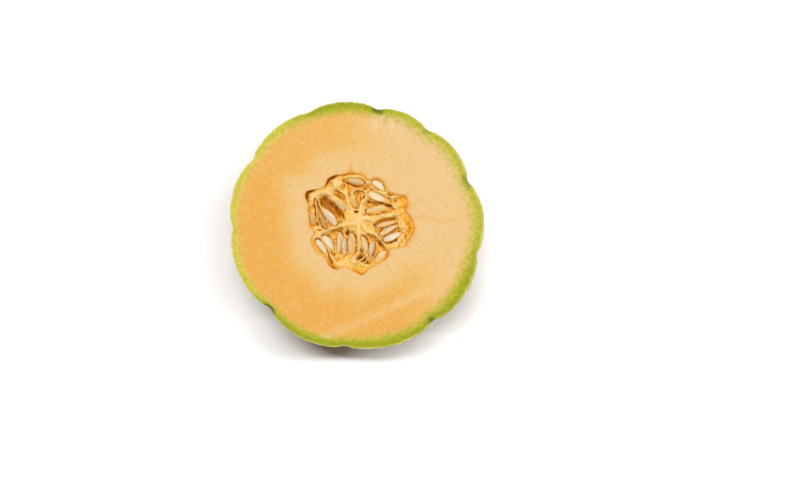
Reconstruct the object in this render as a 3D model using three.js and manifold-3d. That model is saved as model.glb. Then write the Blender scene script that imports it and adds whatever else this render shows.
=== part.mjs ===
// Half of a netted cantaloupe melon, cut across its middle and lying on its rounded end with the cut face up.
// Millimetres, +Z up. The origin is the middle of the small flat spot that the half rests on.
//
// The pieces are the rind, with its furrows, ribs and raised net of cork; the flesh, with the seed cavity
// open at the cut face; the pulp that fills the cavity, a hub with thin walls round open chambers; and in
// each chamber a bunch of seeds, all rooted in the strand that fed them.

import * as THREE from "three";
import { mergeVertices } from "three/addons/utils/BufferGeometryUtils.js";
import Module from "manifold-3d";

const wasm = await Module();
wasm.setup();

// ---------------------------------------------------------------- driving dimensions

const FACE_RADIUS = 71.9; // from the middle of the cut face to the crest of a rib
const FACE_STRETCH = 1.1; // the face is a little longer along STRETCH_ANGLE, and as much shorter across it
const STRETCH_ANGLE = 160;
const PRESS = { angle: 277, width: 17, depth: 1.1 }; // one side is pressed in a little
const DOME_DEPTH = 75.5; // from the cut face to where the rounded end would reach
const HEIGHT = 74.4; // from the cut face to the flat spot, which takes the rest away
const CLEARANCE = 0.3; // between pieces that touch

// The furrows between the ribs: the angle round the melon and the depth at the cut face.
const FURROWS = [
  { angle: 21.8, depth: 3.9 },
  { angle: 53.4, depth: 3.0 },
  { angle: 79.5, depth: 3.6 },
  { angle: 113.2, depth: 1.7 },
  { angle: 147.2, depth: 3.0 },
  { angle: 180.9, depth: 2.5 },
  { angle: 223.5, depth: 4.0 },
  { angle: 264.6, depth: 2.8 },
  { angle: 308.9, depth: 4.0 },
  { angle: 346.7, depth: 2.7 },
];
const FURROW_SPREAD = 8; // degrees over which a furrow's side rises
const FURROW_FADE = 0.6; // how slowly the furrows run out towards the rounded end
const FURROW_BAND = 6.5; // smooth stripe along a furrow, free of net

const RIND = 4.6; // thickness of the rind
const RIND_UNEVEN = 0.3; // share of it by which the rind is thicker on one side of the melon
const RIND_THICK_SIDE = 5; // the angle of that side
const INNER_RIBBING = 0.45; // how much of the furrows shows on the inside of the rind

const NET_CELL = 9; // width of a mesh of the net
const NET_ROWS = 12; // rows of meshes from the cut face to the flat spot
const NET_HEIGHT = 0.8; // how far the cork stands up from the skin
const NET_RIDGE = 1.7; // from the crest of a cork ridge to its foot
const NET_ZIGZAG = 0.17; // share of a row by which the ridges between rows zigzag
const NET_UNEVEN = 0.16; // share of a mesh by which a ridge wanders

// The seed cavity's edge at the cut face: angle and radius about the hub.
const HUB = { x: 1.0, y: 3.6 };
const CAVITY_EDGE = [
  [5.9, 28.4], [10.2, 27.2], [14.8, 28.6], [21.7, 30.3], [25.6, 30.3], [29.2, 27.9], [33.1, 26.2],
  [36.9, 25], [41.5, 23.4], [47.1, 23.4], [51.7, 24.7], [57.2, 26], [62.2, 26.1], [67.8, 25.2],
  [71.2, 24.1], [75, 22.9], [80.8, 24.4], [86.6, 25.1], [94.3, 26.1], [101.6, 26.5], [110.3, 26.7],
  [117.5, 28.4], [125.4, 28.6], [131, 28], [136.2, 26.5], [141.4, 28], [144.8, 29.9], [150.4, 33],
  [154, 33.3], [157.2, 32.5], [159.9, 31.1], [165.3, 28.7], [170.3, 28.4], [177.1, 28], [184.2, 27.6],
  [189.2, 27.6], [193.5, 25.8], [198.5, 26.4], [201.5, 28], [205.8, 29.2], [211.4, 30], [217.1, 30],
  [223, 29.3], [227.8, 29], [232.6, 28.9], [237, 30.6], [243.3, 31.4], [248.3, 30.2], [252.1, 28.7],
  [256.8, 27.5], [261.1, 28.4], [265.3, 29.4], [272.7, 31.5], [276.3, 31.2], [279.5, 29.7],
  [284, 28.1], [290.5, 27.7], [302.5, 27.2], [307.7, 27.2], [311.9, 26.2], [315.5, 24.4], [320, 25.5],
  [326.5, 29.2], [331.3, 30.6], [341.5, 30.8], [347.7, 32.4], [352.2, 32.4], [356.3, 31.3],
];
const CAVITY_DEPTH = 42;

// The open chambers of the pulp, each an egg-shaped pit. angle, way: where its middle is from the hub;
// heading: the direction of its broad end, where its seeds are rooted; half, wide: half its length and
// half its width; seeds: how many it holds; spread: the angle from one seed to the next.
const CHAMBERS = [
  { name: "right", angle: 343, way: 19.9, heading: 12, half: 9.7, wide: 7.0, seeds: 4, spread: 17 },
  { name: "upper_right", angle: 34, way: 15.8, heading: 8, half: 9.2, wide: 6.0, seeds: 3, spread: 20 },
  { name: "pocket", angle: 61, way: 22.0, heading: 329, half: 4.4, wide: 2.6, seeds: 1, spread: 0 },
  { name: "top", angle: 94, way: 15.4, heading: 92, half: 8.2, wide: 4.8, seeds: 2, spread: 24 },
  { name: "upper_left", angle: 129, way: 18.2, heading: 124, half: 8.4, wide: 3.9, seeds: 2, spread: 20 },
  { name: "left", angle: 170, way: 18.2, heading: 152, half: 9.6, wide: 8.2, seeds: 4, spread: 20 },
  { name: "lower_left", angle: 229, way: 18.9, heading: 262, half: 9.7, wide: 9.9, seeds: 6, spread: 17 },
  { name: "lower_right", angle: 289, way: 18.6, heading: 268, half: 9.6, wide: 7.0, seeds: 4, spread: 18 },
];
const CHAMBER_DEPTH = 7.5;
const CHAMBER_STEPS = 20; // steps round a chamber's edge
const PULP_SINK = 0.8; // the pulp's walls stop this far below the cut face

const SEED = { length: 12.4, width: 5.2, thickness: 2.4, sides: 8, rings: 6 };
const SEED_LEVEL = -3.4; // height of the seeds' middle, from the cut face
const STRAND = { along: 3.2, across: 4.6, up: 2.4, level: -4.9 }; // half sizes of the strand that holds them

const COLUMNS = 48; // steps round the plain inner surfaces
const LEVELS = 9; // steps down them
const CAVITY_COLUMNS = 108;
const CAVITY_LEVELS = 6;

// ---------------------------------------------------------------- small tools

const radians = THREE.MathUtils.degToRad;
const degrees = THREE.MathUtils.radToDeg;
const range = (count) => Array.from({ length: count }, (_, i) => i);
const apart = (a, b) => Math.abs(((((a - b + 180) % 360) + 360) % 360) - 180);

// Repeatable random numbers from 0 to 1.
function randomFrom(seed) {
  let state = seed;
  return () => {
    state = (state * 1664525 + 1013904223) % 4294967296;
    return state / 4294967296;
  };
}

// A closed surface under construction. Loops run anticlockwise seen from above.
class Skin {
  points = [];
  faces = [];

  add(point) {
    this.points.push(point);
    return this.points.length - 1;
  }

  // A flat-ish face, given anticlockwise seen from outside.
  polygon(loop) {
    for (let i = 2; i < loop.length; i++) this.faces.push([loop[0], loop[i - 1], loop[i]]);
  }

  angleOf(index) {
    const turn = Math.atan2(this.points[index].y, this.points[index].x);
    return turn < 0 ? turn + 2 * Math.PI : turn;
  }

  // Joins one loop to the next. A loop of one point closes the surface. Loops of different lengths are
  // matched by their angle about the Z axis.
  zip(lower, upper) {
    const matched = lower.length === upper.length;
    const [a, b] = matched ? [lower, upper] : [lower, upper].map((loop) => this.fromZeroAngle(loop));
    const stepsA = a.length > 1 ? a.length : 0;
    const stepsB = b.length > 1 ? b.length : 0;
    const at = (loop, i) =>
      i < loop.length ? this.angleOf(loop[i]) : this.angleOf(loop[i - loop.length]) + 2 * Math.PI;
    let i = 0;
    let j = 0;
    while (i < stepsA || j < stepsB) {
      const nextA = i < stepsA ? (matched ? i : at(a, i + 1)) : Infinity;
      const nextB = j < stepsB ? (matched ? j : at(b, j + 1)) : Infinity;
      if (nextA <= nextB) {
        this.faces.push([a[i], a[(i + 1) % a.length], b[j % b.length]]);
        i += 1;
      } else {
        this.faces.push([a[i % a.length], b[(j + 1) % b.length], b[j]]);
        j += 1;
      }
    }
  }

  fromZeroAngle(loop) {
    const first = loop.reduce((best, p, i) => (this.angleOf(p) < this.angleOf(loop[best]) ? i : best), 0);
    return [...loop.slice(first), ...loop.slice(0, first)];
  }

  // Joins a run of loops, from the outside's lowest point up, and back down the inside.
  wrap(loops) {
    for (let i = 1; i < loops.length; i++) this.zip(loops[i - 1], loops[i]);
  }

  loop(points) {
    return points.map((p) => this.add(p));
  }

  geometry() {
    return new THREE.BufferGeometry().setFromPoints(this.points).setIndex(this.faces.flat());
  }
}

function solidOf(geometry) {
  const bare = geometry.clone();
  bare.deleteAttribute("normal");
  bare.deleteAttribute("uv");
  const merged = mergeVertices(bare, 1e-4);
  const vertProperties = merged.getAttribute("position").array;
  return new wasm.Manifold(
    new wasm.Mesh({ numProp: 3, vertProperties, triVerts: new Uint32Array(merged.index.array) }),
  );
}

function geometryOf(solid) {
  const { vertProperties, triVerts } = solid.getMesh();
  return new THREE.BufferGeometry()
    .setAttribute("position", new THREE.BufferAttribute(vertProperties, 3))
    .setIndex(new THREE.BufferAttribute(triVerts, 1));
}

// ---------------------------------------------------------------- the melon's outer form

function furrowDip(angle) {
  return FURROWS.reduce((sum, f) => sum + f.depth * Math.exp(-apart(angle, f.angle) / FURROW_SPREAD), 0);
}

// A point of the melon's skin. angle: round the melon; drop: from the cut face (0) to the rounded end (90),
// both in degrees; lift: how far it stands out from the skin; ribbing: the share of the furrows it follows.
function skinPoint(angle, drop, lift = 0, ribbing = 1) {
  const turn = radians(angle);
  const out = Math.cos(radians(drop));
  const down = Math.sin(radians(drop));
  const stretch = FACE_STRETCH * Math.cos(2 * (turn - radians(STRETCH_ANGLE)));
  const press = PRESS.depth * Math.exp(-((apart(degrees(turn), PRESS.angle) / PRESS.width) ** 2));
  const crest = FACE_RADIUS + stretch - press;
  const radius = (crest - ribbing * furrowDip(angle) * out ** FURROW_FADE + lift) * out;
  const z = Math.max(-(DOME_DEPTH + lift) * down, -HEIGHT);
  return new THREE.Vector3(radius * Math.cos(turn), radius * Math.sin(turn), z);
}

function rindDepth(angle) {
  return RIND * (1 + RIND_UNEVEN * Math.cos(radians(angle - RIND_THICK_SIDE)));
}

// Rings from the cut face down to just above the rounded end, and that end's point, this far inside the rind.
function innerRings(skin, inset) {
  const drops = range(LEVELS).map((level) => (level / LEVELS) * 90);
  const rings = drops.map((drop) =>
    skin.loop(
      range(COLUMNS).map((column) => {
        const angle = (column / COLUMNS) * 360;
        return skinPoint(angle, drop, -rindDepth(angle) - inset, INNER_RIBBING);
      }),
    ),
  );
  return [...rings, [skin.add(new THREE.Vector3(0, 0, -(DOME_DEPTH - RIND - inset)))]];
}

// ---------------------------------------------------------------- rind

const FLAT_DROP = degrees(Math.asin(HEIGHT / DOME_DEPTH));
const dropAt = (level) => (level / NET_ROWS) * FLAT_DROP;

// Degrees from a furrow's middle to the edge of its smooth stripe.
function bandAngle(level) {
  const out = Math.cos(radians(dropAt(level)));
  return degrees((FURROW_BAND / 2) * Math.sqrt(out) / (FACE_RADIUS * out));
}

// One rib's net: rows of six-sided meshes laid like bricks between two furrows.
class RibNet {
  constructor(skin, left, right, random) {
    this.skin = skin;
    this.left = left.angle;
    this.span = right.angle - left.angle + (right.angle < left.angle ? 360 : 0);
    this.random = random;
    this.rows = range(NET_ROWS).map((row) => this.ridgesOf(row));
    this.levels = range(NET_ROWS + 1).map((level) => this.nodesAt(level));
    this.rim = [this.levels[0][0].index];
    this.rows.forEach((_, row) => this.meshesOf(row));
  }

  // share: 0 at the left furrow's stripe, 1 at the right one's.
  place(share, level, lift) {
    const edge = bandAngle(level);
    const angle = this.left + edge + share * (this.span - 2 * edge);
    return this.skin.add(skinPoint(angle, dropAt(level), lift));
  }

  // The ridges between the meshes of a row, each with its share of the rib's width at both ends.
  ridgesOf(row) {
    const middle = row + 0.5;
    const radius = FACE_RADIUS * Math.cos(radians(dropAt(middle)));
    const width = radians(this.span - 2 * bandAngle(middle)) * radius;
    const count = Math.max(1, Math.round(width / NET_CELL));
    const shifted = row % 2 === 1 && count > 1;
    const shares = shifted ? range(count).map((j) => (j + 0.5) / count) : range(count - 1).map((j) => (j + 1) / count);
    const wander = () => ((this.random() - 0.5) * 2 * NET_UNEVEN) / count;
    return shares.map((share) => ({ top: share + wander(), bottom: share + wander() }));
  }

  // The net's knots between two rows, from left to right. Ridges from above end a little high, and ridges
  // to the row below start a little low, which makes the line between the rows zigzag.
  nodesAt(level) {
    const above = level > 0 ? this.rows[level - 1].map((r) => ({ ridge: r, share: r.bottom, shift: -1 })) : [];
    const below = level < NET_ROWS ? this.rows[level].map((r) => ({ ridge: r, share: r.top, shift: 1 })) : [];
    const edges = [0, 1].map((share) => ({ share, shift: 0 }));
    const nodes = [...edges, ...above, ...below].sort((a, b) => a.share - b.share);
    const atEnd = level === 0 || level === NET_ROWS;
    const lift = level === NET_ROWS ? 0 : NET_HEIGHT;
    return nodes.map((node) => {
      const at = level + (atEnd ? 0 : node.shift * NET_ZIGZAG);
      return { ...node, at, index: this.place(node.share, at, lift) };
    });
  }

  // The nodes of a level from one ridge of a row to the next.
  between(level, shift, from, to) {
    const nodes = this.levels[level];
    const find = (ridge, fallback) =>
      ridge ? nodes.findIndex((n) => n.ridge === ridge && n.shift === shift) : fallback;
    return nodes.slice(find(from, 0), find(to, nodes.length - 1) + 1);
  }

  meshesOf(row) {
    const ridges = [null, ...this.rows[row], null];
    for (let i = 1; i < ridges.length; i++) {
      const top = this.between(row, 1, ridges[i - 1], ridges[i]);
      const bottom = this.between(row + 1, -1, ridges[i - 1], ridges[i]);
      this.mesh(row, [...bottom, ...top.reverse()], bottom.length);
    }
  }

  // One mesh: a floor at the level of the skin inside sloping sides. A mesh of the first row is cut through
  // by the melon's cut face, so it has no side there.
  mesh(row, corners, bottomCount) {
    const mean = (key) => corners.reduce((sum, c) => sum + c[key], 0) / corners.length;
    const middle = skinPoint(
      this.left + bandAngle(row + 0.5) + mean("share") * (this.span - 2 * bandAngle(row + 0.5)),
      dropAt(mean("at")),
    );
    const floor = corners.map((corner) => {
      const way = middle.distanceTo(this.skin.points[corner.index]);
      const part = Math.min(0.45, NET_RIDGE / way);
      const share = corner.share + (mean("share") - corner.share) * part;
      const onCut = corner.at === 0;
      const at = onCut ? 0 : corner.at + (mean("at") - corner.at) * part;
      return this.place(share, at, 0);
    });
    corners.forEach((corner, i) => {
      const next = (i + 1) % corners.length;
      if (corner.at === 0 && corners[next].at === 0) return;
      this.skin.polygon([corner.index, corners[next].index, floor[next], floor[i]]);
    });
    this.skin.polygon(floor);
    if (row === 0) {
      const [right, left] = [bottomCount, bottomCount + 1];
      this.rim.push(floor[left], floor[right], corners[right].index);
    }
  }

  edge(level, side) {
    const nodes = this.levels[level];
    return nodes[side === "left" ? 0 : nodes.length - 1].index;
  }

  foot() {
    return this.levels[NET_ROWS].map((node) => node.index);
  }
}

// The smooth stripe along a furrow, from the rib on its left to the rib on its right.
function furrowBand(skin, furrow, before, after) {
  const rows = range(NET_ROWS + 1).map((level) => {
    const inside = bandAngle(level) * 0.62;
    const across = [-inside, 0, inside].map((shift) => skin.add(skinPoint(furrow.angle + shift, dropAt(level))));
    return [before.edge(level, "right"), ...across, after.edge(level, "left")];
  });
  for (let level = 1; level < rows.length; level++) {
    const [top, bottom] = [rows[level - 1], rows[level]];
    for (let i = 1; i < top.length; i++) skin.polygon([bottom[i - 1], bottom[i], top[i], top[i - 1]]);
  }
  return { rim: rows[0].slice(1, -1), foot: rows[NET_ROWS].slice(1, -1) };
}

function rindGeometry() {
  const skin = new Skin();
  const random = randomFrom(7);
  const next = (i) => (i + 1) % FURROWS.length;
  const ribs = FURROWS.map((furrow, i) => new RibNet(skin, furrow, FURROWS[next(i)], random));
  const bands = FURROWS.map((_, i) => furrowBand(skin, FURROWS[next(i)], ribs[i], ribs[next(i)]));
  const rim = ribs.flatMap((rib, i) => [...rib.rim, ...bands[i].rim]);
  const foot = ribs.flatMap((rib, i) => [...rib.foot(), ...bands[i].foot]);
  skin.zip([skin.add(new THREE.Vector3(0, 0, -HEIGHT))], foot);
  skin.wrap([rim, ...innerRings(skin, 0)]);
  return skin.geometry();
}

// ---------------------------------------------------------------- flesh and pulp

const hub = new THREE.Vector3(HUB.x, HUB.y, 0);

const cavityEdge = new THREE.CatmullRomCurve3(
  CAVITY_EDGE.map(([angle, radius]) =>
    new THREE.Vector3(radius * Math.cos(radians(angle)), radius * Math.sin(radians(angle)), 0).add(hub),
  ),
  true,
  "catmullrom",
);

// Rings of the cavity from the cut face down, and its lowest point. Its lobes smooth out with depth.
function cavityRings(skin, inset, top) {
  const edge = cavityEdge.getSpacedPoints(CAVITY_COLUMNS).slice(0, -1);
  const plain = CAVITY_EDGE.reduce((sum, [, radius]) => sum + radius, 0) / CAVITY_EDGE.length;
  const rings = range(CAVITY_LEVELS).map((level) => {
    const share = level / CAVITY_LEVELS;
    const drop = share * (Math.PI / 2);
    return skin.loop(
      edge.map((point) => {
        const out = point.clone().sub(hub);
        const radius = (THREE.MathUtils.lerp(out.length(), plain, share) - inset) * Math.cos(drop);
        const z = Math.min(top, -(CAVITY_DEPTH - inset) * Math.sin(drop));
        return out.setLength(radius).add(hub).setZ(z);
      }),
    );
  });
  return [...rings, [skin.add(hub.clone().setZ(-(CAVITY_DEPTH - inset)))]];
}

function fleshGeometry() {
  const skin = new Skin();
  const outside = innerRings(skin, CLEARANCE).reverse();
  skin.wrap([...outside, ...cavityRings(skin, 0, 0)]);
  return skin.geometry();
}

const heading = (angle) => new THREE.Vector3(Math.cos(radians(angle)), Math.sin(radians(angle)), 0);

function chamberMiddle(chamber, z) {
  return hub.clone().addScaledVector(heading(chamber.angle), chamber.way).setZ(z);
}

// The egg-shaped outline of a chamber at one height, its broad end first along the heading.
function chamberLoop(chamber, inset, taper, z) {
  const along = heading(chamber.heading);
  const across = heading(chamber.heading + 90);
  return range(CHAMBER_STEPS).map((i) => {
    const t = (i / CHAMBER_STEPS) * 2 * Math.PI;
    const length = (chamber.half - inset) * Math.cos(t) * taper;
    const width = (chamber.wide - inset) * (0.95 + 0.3 * Math.cos(t)) * Math.sin(t) * taper;
    return chamberMiddle(chamber, z).addScaledVector(along, length).addScaledVector(across, width);
  });
}

function chamberSolid(chamber, inset) {
  const floor = -Math.min(CHAMBER_DEPTH, chamber.wide * 1.6) + inset;
  const profile = [
    [0.7, floor],
    [0.92, floor * 0.75],
    [1, -2 * PULP_SINK],
    [1, 2],
  ];
  const skin = new Skin();
  const rings = profile.map(([taper, z]) => skin.loop(chamberLoop(chamber, inset, taper, z)));
  skin.wrap([[skin.add(chamberMiddle(chamber, floor))], ...rings, [skin.add(chamberMiddle(chamber, 2))]]);
  return solidOf(skin.geometry());
}

function pulpGeometry() {
  const skin = new Skin();
  const outside = cavityRings(skin, CLEARANCE, -PULP_SINK).reverse();
  skin.wrap([...outside, [skin.add(hub.clone().setZ(-PULP_SINK / 2))]]);
  const body = solidOf(skin.geometry());
  const carved = CHAMBERS.reduce((left, chamber) => left.subtract(chamberSolid(chamber, 0)), body);
  return geometryOf(carved);
}

// ---------------------------------------------------------------- seeds

// A seed lying along X, its point at the origin: a flat oval, pointed where it is rooted.
function seedGeometry() {
  const seed = new THREE.SphereGeometry(1, SEED.sides, SEED.rings).rotateZ(Math.PI / 2);
  const position = seed.getAttribute("position");
  range(position.count).forEach((i) => {
    const x = position.getX(i);
    const full = 0.72 + 0.28 * x;
    position.setXYZ(
      i,
      ((x + 1) * SEED.length) / 2,
      (position.getY(i) * full * SEED.width) / 2,
      (position.getZ(i) * full * SEED.thickness) / 2,
    );
  });
  return seed;
}

// The seeds of a chamber fan out from the strand at its broad end, where all of them are rooted.
function seedsGeometry(chamber, random) {
  const size = Math.min(1, chamber.wide / 5, chamber.half / 6);
  const turn = radians(chamber.heading);
  const root = chamberMiddle(chamber, STRAND.level * size).addScaledVector(
    heading(chamber.heading),
    chamber.half - STRAND.along * size * 0.7,
  );
  const strand = new THREE.SphereGeometry(1, 12, 8)
    .scale(STRAND.along * size, STRAND.across * size, STRAND.up * size)
    .rotateZ(turn)
    .translate(root.x, root.y, root.z);
  const seeds = range(chamber.seeds).map((i) => {
    const fan = (i - (chamber.seeds - 1) / 2) * chamber.spread;
    const roll = radians(i % 2 === 0 ? 58 : 22) + (random() - 0.5) * 0.3;
    const rise = radians(5 + 6 * random());
    const start = root
      .clone()
      .addScaledVector(heading(chamber.heading + 90), -Math.sin(radians(fan)) * STRAND.across * 0.8)
      .setZ(SEED_LEVEL - rise * 4);
    return seedGeometry()
      .scale(size ** 0.5, size ** 0.5, size ** 0.5)
      .rotateX(roll)
      .rotateY(-rise)
      .rotateZ(turn + Math.PI + radians(fan))
      .translate(start.x, start.y, start.z);
  });
  const bunch = [strand, ...seeds].map(solidOf).reduce((all, solid) => all.add(solid));
  return geometryOf(bunch.intersect(chamberSolid(chamber, CLEARANCE)));
}

// ---------------------------------------------------------------- the melon half

const skinTone = (color, roughness) => new THREE.MeshStandardMaterial({ color, roughness, metalness: 0 });
const rindTone = skinTone(0xb9a25c, 0.75);
const fleshTone = skinTone(0xf2bb6c, 0.45);
const pulpTone = skinTone(0xe39a35, 0.35);
const seedTone = skinTone(0xe8d9ae, 0.35);

function piece(name, geometry, material) {
  const mesh = new THREE.Mesh(geometry, material);
  mesh.name = name;
  return mesh;
}

const random = randomFrom(29);
const melon = new THREE.Group();
melon.position.z = HEIGHT;
melon.add(
  piece("rind", rindGeometry(), rindTone),
  piece("flesh", fleshGeometry(), fleshTone),
  piece("seed_pulp", pulpGeometry(), pulpTone),
  ...CHAMBERS.map((chamber) => piece(`seeds_${chamber.name}`, seedsGeometry(chamber, random), seedTone)),
);

export default melon;
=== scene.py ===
"""Half of a netted cantaloupe, cut straight across and lying on its rounded end with the cut face up.

The melon's form is worked out in millimetres from the middle of the cut face, with +Z up. Meshes are put
into metres, above the flat spot that the half rests on, when they are made.
"""

from __future__ import annotations

import logging
from dataclasses import dataclass
from enum import Enum
from typing import Sequence

import bpy
import numpy as np
from bpy.types import Material, Node, NodeSocket, NodeTree, Object
from mathutils import Matrix, Vector


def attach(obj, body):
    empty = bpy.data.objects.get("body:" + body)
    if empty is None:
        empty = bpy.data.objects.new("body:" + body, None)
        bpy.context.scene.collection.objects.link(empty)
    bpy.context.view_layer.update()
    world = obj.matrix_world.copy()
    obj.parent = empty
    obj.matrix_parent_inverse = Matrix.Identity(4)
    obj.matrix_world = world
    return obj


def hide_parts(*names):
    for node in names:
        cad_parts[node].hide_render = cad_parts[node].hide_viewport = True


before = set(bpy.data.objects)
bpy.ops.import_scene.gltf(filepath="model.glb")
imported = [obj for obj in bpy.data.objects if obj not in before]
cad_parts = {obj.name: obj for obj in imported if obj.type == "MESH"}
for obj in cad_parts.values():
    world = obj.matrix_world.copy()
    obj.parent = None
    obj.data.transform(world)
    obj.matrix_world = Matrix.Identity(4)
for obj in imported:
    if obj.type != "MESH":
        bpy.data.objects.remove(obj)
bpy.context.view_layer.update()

Array = np.ndarray
Path = Sequence[tuple[float, ...]]
Rows = Sequence[tuple[float, ...]]
log = logging.getLogger("melon")

MM = 0.001
LIGHT = 1.25  # how bright a white surface is in the studio
HEIGHT = 74.4  # from the flat spot to the cut face
HUB = np.array([1.0, 3.6])  # middle of the seed cavity, from the middle of the cut face


def each(kind: type, *rows: tuple) -> tuple:
    """One thing of a kind from each row of its values."""
    return tuple(kind(*row) for row in rows)


# ---------------------------------------------------------------- numbers on whole arrays


def rise(low: float, high: float, values: Array) -> Array:
    """A smooth step: 0 below low, 1 above high, and 3t² - 2t³ between them; low may be the larger."""
    t = np.clip((values - low) / (high - low), 0, 1)
    return t * t * (3 - 2 * t)


def blend(low: Array, high: Array, share: Array) -> Array:
    """The value that lies the given share of the way from low to high."""
    return low + (high - low) * share


def bell(away: Array, size: Array | float = 1, power: int = 2) -> Array:
    """A bump: e to the power of minus the distance over the size, raised to a power."""
    return np.exp(-((away / size) ** power))


def between(angle: Array, other: Array | float) -> Array:
    """Degrees from one angle to another, from -180 to 180."""
    return (angle - other + 180) % 360 - 180


def turned(angle: Array) -> Array:
    """Unit vectors in the plane at these angles, in degrees."""
    turn = np.radians(angle)
    return np.stack([np.cos(turn), np.sin(turn)], -1)


def raised(spots: Array, height: Array | float = 0) -> Array:
    """Places in the plane as points at a height."""
    return np.concatenate([spots, np.broadcast_to(height, spots.shape[:-1])[..., None]], -1)


def rounded(path: Path, closed: bool = False, times: int = 2) -> Array:
    """Cuts the corners of a chain of points: each stretch keeps its middle half, again and again.

    Args:
        path: the chain's corners.
        closed: whether its end joins its start.
        times: how often the corners are cut.

    Returns:
        The corners of the smoother chain.
    """
    points = np.asarray(path, float)
    for _ in range(times):
        after = np.roll(points, -1, 0) if closed else points[1:]
        before = points if closed else points[:-1]
        cut = np.stack([0.75 * before + 0.25 * after, 0.25 * before + 0.75 * after], 1)
        cut = cut.reshape(-1, points.shape[1])
        points = cut if closed else np.concatenate([points[:1], cut, points[-1:]])
    return points


def distance_to(spots: Array, path: Path) -> Array:
    """Distance in the plane from each spot to a smoothed chain of points.

    Each spot is dropped onto each straight stretch, held between its ends, and the nearest foot counts.

    Args:
        spots: places in the plane.
        path: the chain's corners.

    Returns:
        The distances.
    """
    chain = rounded(path)
    nearest = np.full(spots.shape[:-1], 1e9)
    for start, end in zip(chain[:-1], chain[1:]):
        way = end - start
        share = np.clip(((spots - start) @ way) / (way @ way + 1e-9), 0, 1)
        nearest = np.minimum(nearest, np.linalg.norm(spots - start - share[..., None] * way, axis=-1))
    return nearest


class Noise:
    """Repeatable noise on points given in millimetres, with a salt that picks one of many patterns."""

    @staticmethod
    def lattice(cell: Array, salt: int) -> Array:
        """A random number for each whole-numbered cell: its indices are mixed by multiplication.

        Args:
            cell: the indices.
            salt: the pattern.

        Returns:
            The numbers, from 0 to 1.
        """
        x, y, z = (cell[..., axis].astype(np.int64) for axis in range(3))
        mixed = ((x * 73856093) ^ (y * 19349663) ^ (z * 83492791) ^ (salt * 2654435761)) & 0xFFFFFFFF
        mixed = ((mixed ^ (mixed >> 13)) * 1274126177) & 0xFFFFFFFF
        return ((mixed ^ (mixed >> 16)) & 0xFFFFFF) / 0xFFFFFF

    @classmethod
    def smooth(cls, points: Array, size: float, salt: int) -> Array:
        """Noise from 0 to 1 that varies smoothly: the eight corners of each cell, eased into each other.

        Args:
            points: where it is wanted.
            size: the width of a cell.
            salt: the pattern.

        Returns:
            The noise at each point.
        """
        scaled = points / size
        low = np.floor(scaled)
        ease = rise(0, 1, scaled - low)
        total = np.zeros(points.shape[:-1])
        for corner in np.ndindex(2, 2, 2):
            weight = np.prod(np.where(corner, ease, 1 - ease), axis=-1)
            total += weight * cls.lattice(low + corner, salt)
        return total

    @classmethod
    def fractal(cls, points: Array, size: float, octaves: int, salt: int) -> Array:
        """Smooth noise with finer and fainter noise added to it, each half the size and strength.

        Args:
            points: where it is wanted.
            size: the width of the largest cells.
            octaves: how many noises are added up.
            salt: the pattern.

        Returns:
            The noise at each point, from 0 to 1.
        """
        weights = 0.5 ** np.arange(octaves)
        layers = [w * cls.smooth(points, size * w, salt + i) for i, w in enumerate(weights)]
        return sum(layers) / weights.sum()

    @classmethod
    def sway(cls, points: Array, size: float, salt: int, axes: int = 3) -> Array:
        """A random vector of this many axes at each point, each number within half of 0."""
        return np.stack([cls.fractal(points, size, 2, salt + axis) - 0.5 for axis in range(axes)], -1)

    @classmethod
    def walls(cls, points: Array, size: float, width: float, salt: int) -> Array:
        """The walls between irregular cells, 1 on a wall and 0 inside a cell.

        Each cell has one scattered seed. Where the nearest two seeds are equally far there is a wall, and
        it fades as e to the power of minus the square of their difference over the wall's width.

        Args:
            points: where it is wanted.
            size: the mean width of a cell.
            width: the wall's width as a share of a cell.
            salt: the pattern.

        Returns:
            The wall's strength at each point.
        """
        scaled = points / size
        low = np.floor(scaled)
        nearest = np.full(points.shape[:-1], 9.0)
        second = nearest.copy()
        for step in np.ndindex(3, 3, 3):
            cell = low + step - 1
            seed = cell + np.stack([cls.lattice(cell, salt + axis) for axis in range(3)], -1)
            away = np.linalg.norm(scaled - seed, axis=-1)
            second = np.minimum(second, np.maximum(nearest, away))
            nearest = np.minimum(nearest, away)
        return bell(second - nearest, width)


# ---------------------------------------------------------------- shapes


def over(bands: Sequence[Array], *numbers: Array | float) -> Array:
    """A number for every point of some bands of loops, from what each band holds."""
    return np.concatenate([np.broadcast_to(number, band.shape[:2]) for band, number in zip(bands, numbers)])


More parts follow.
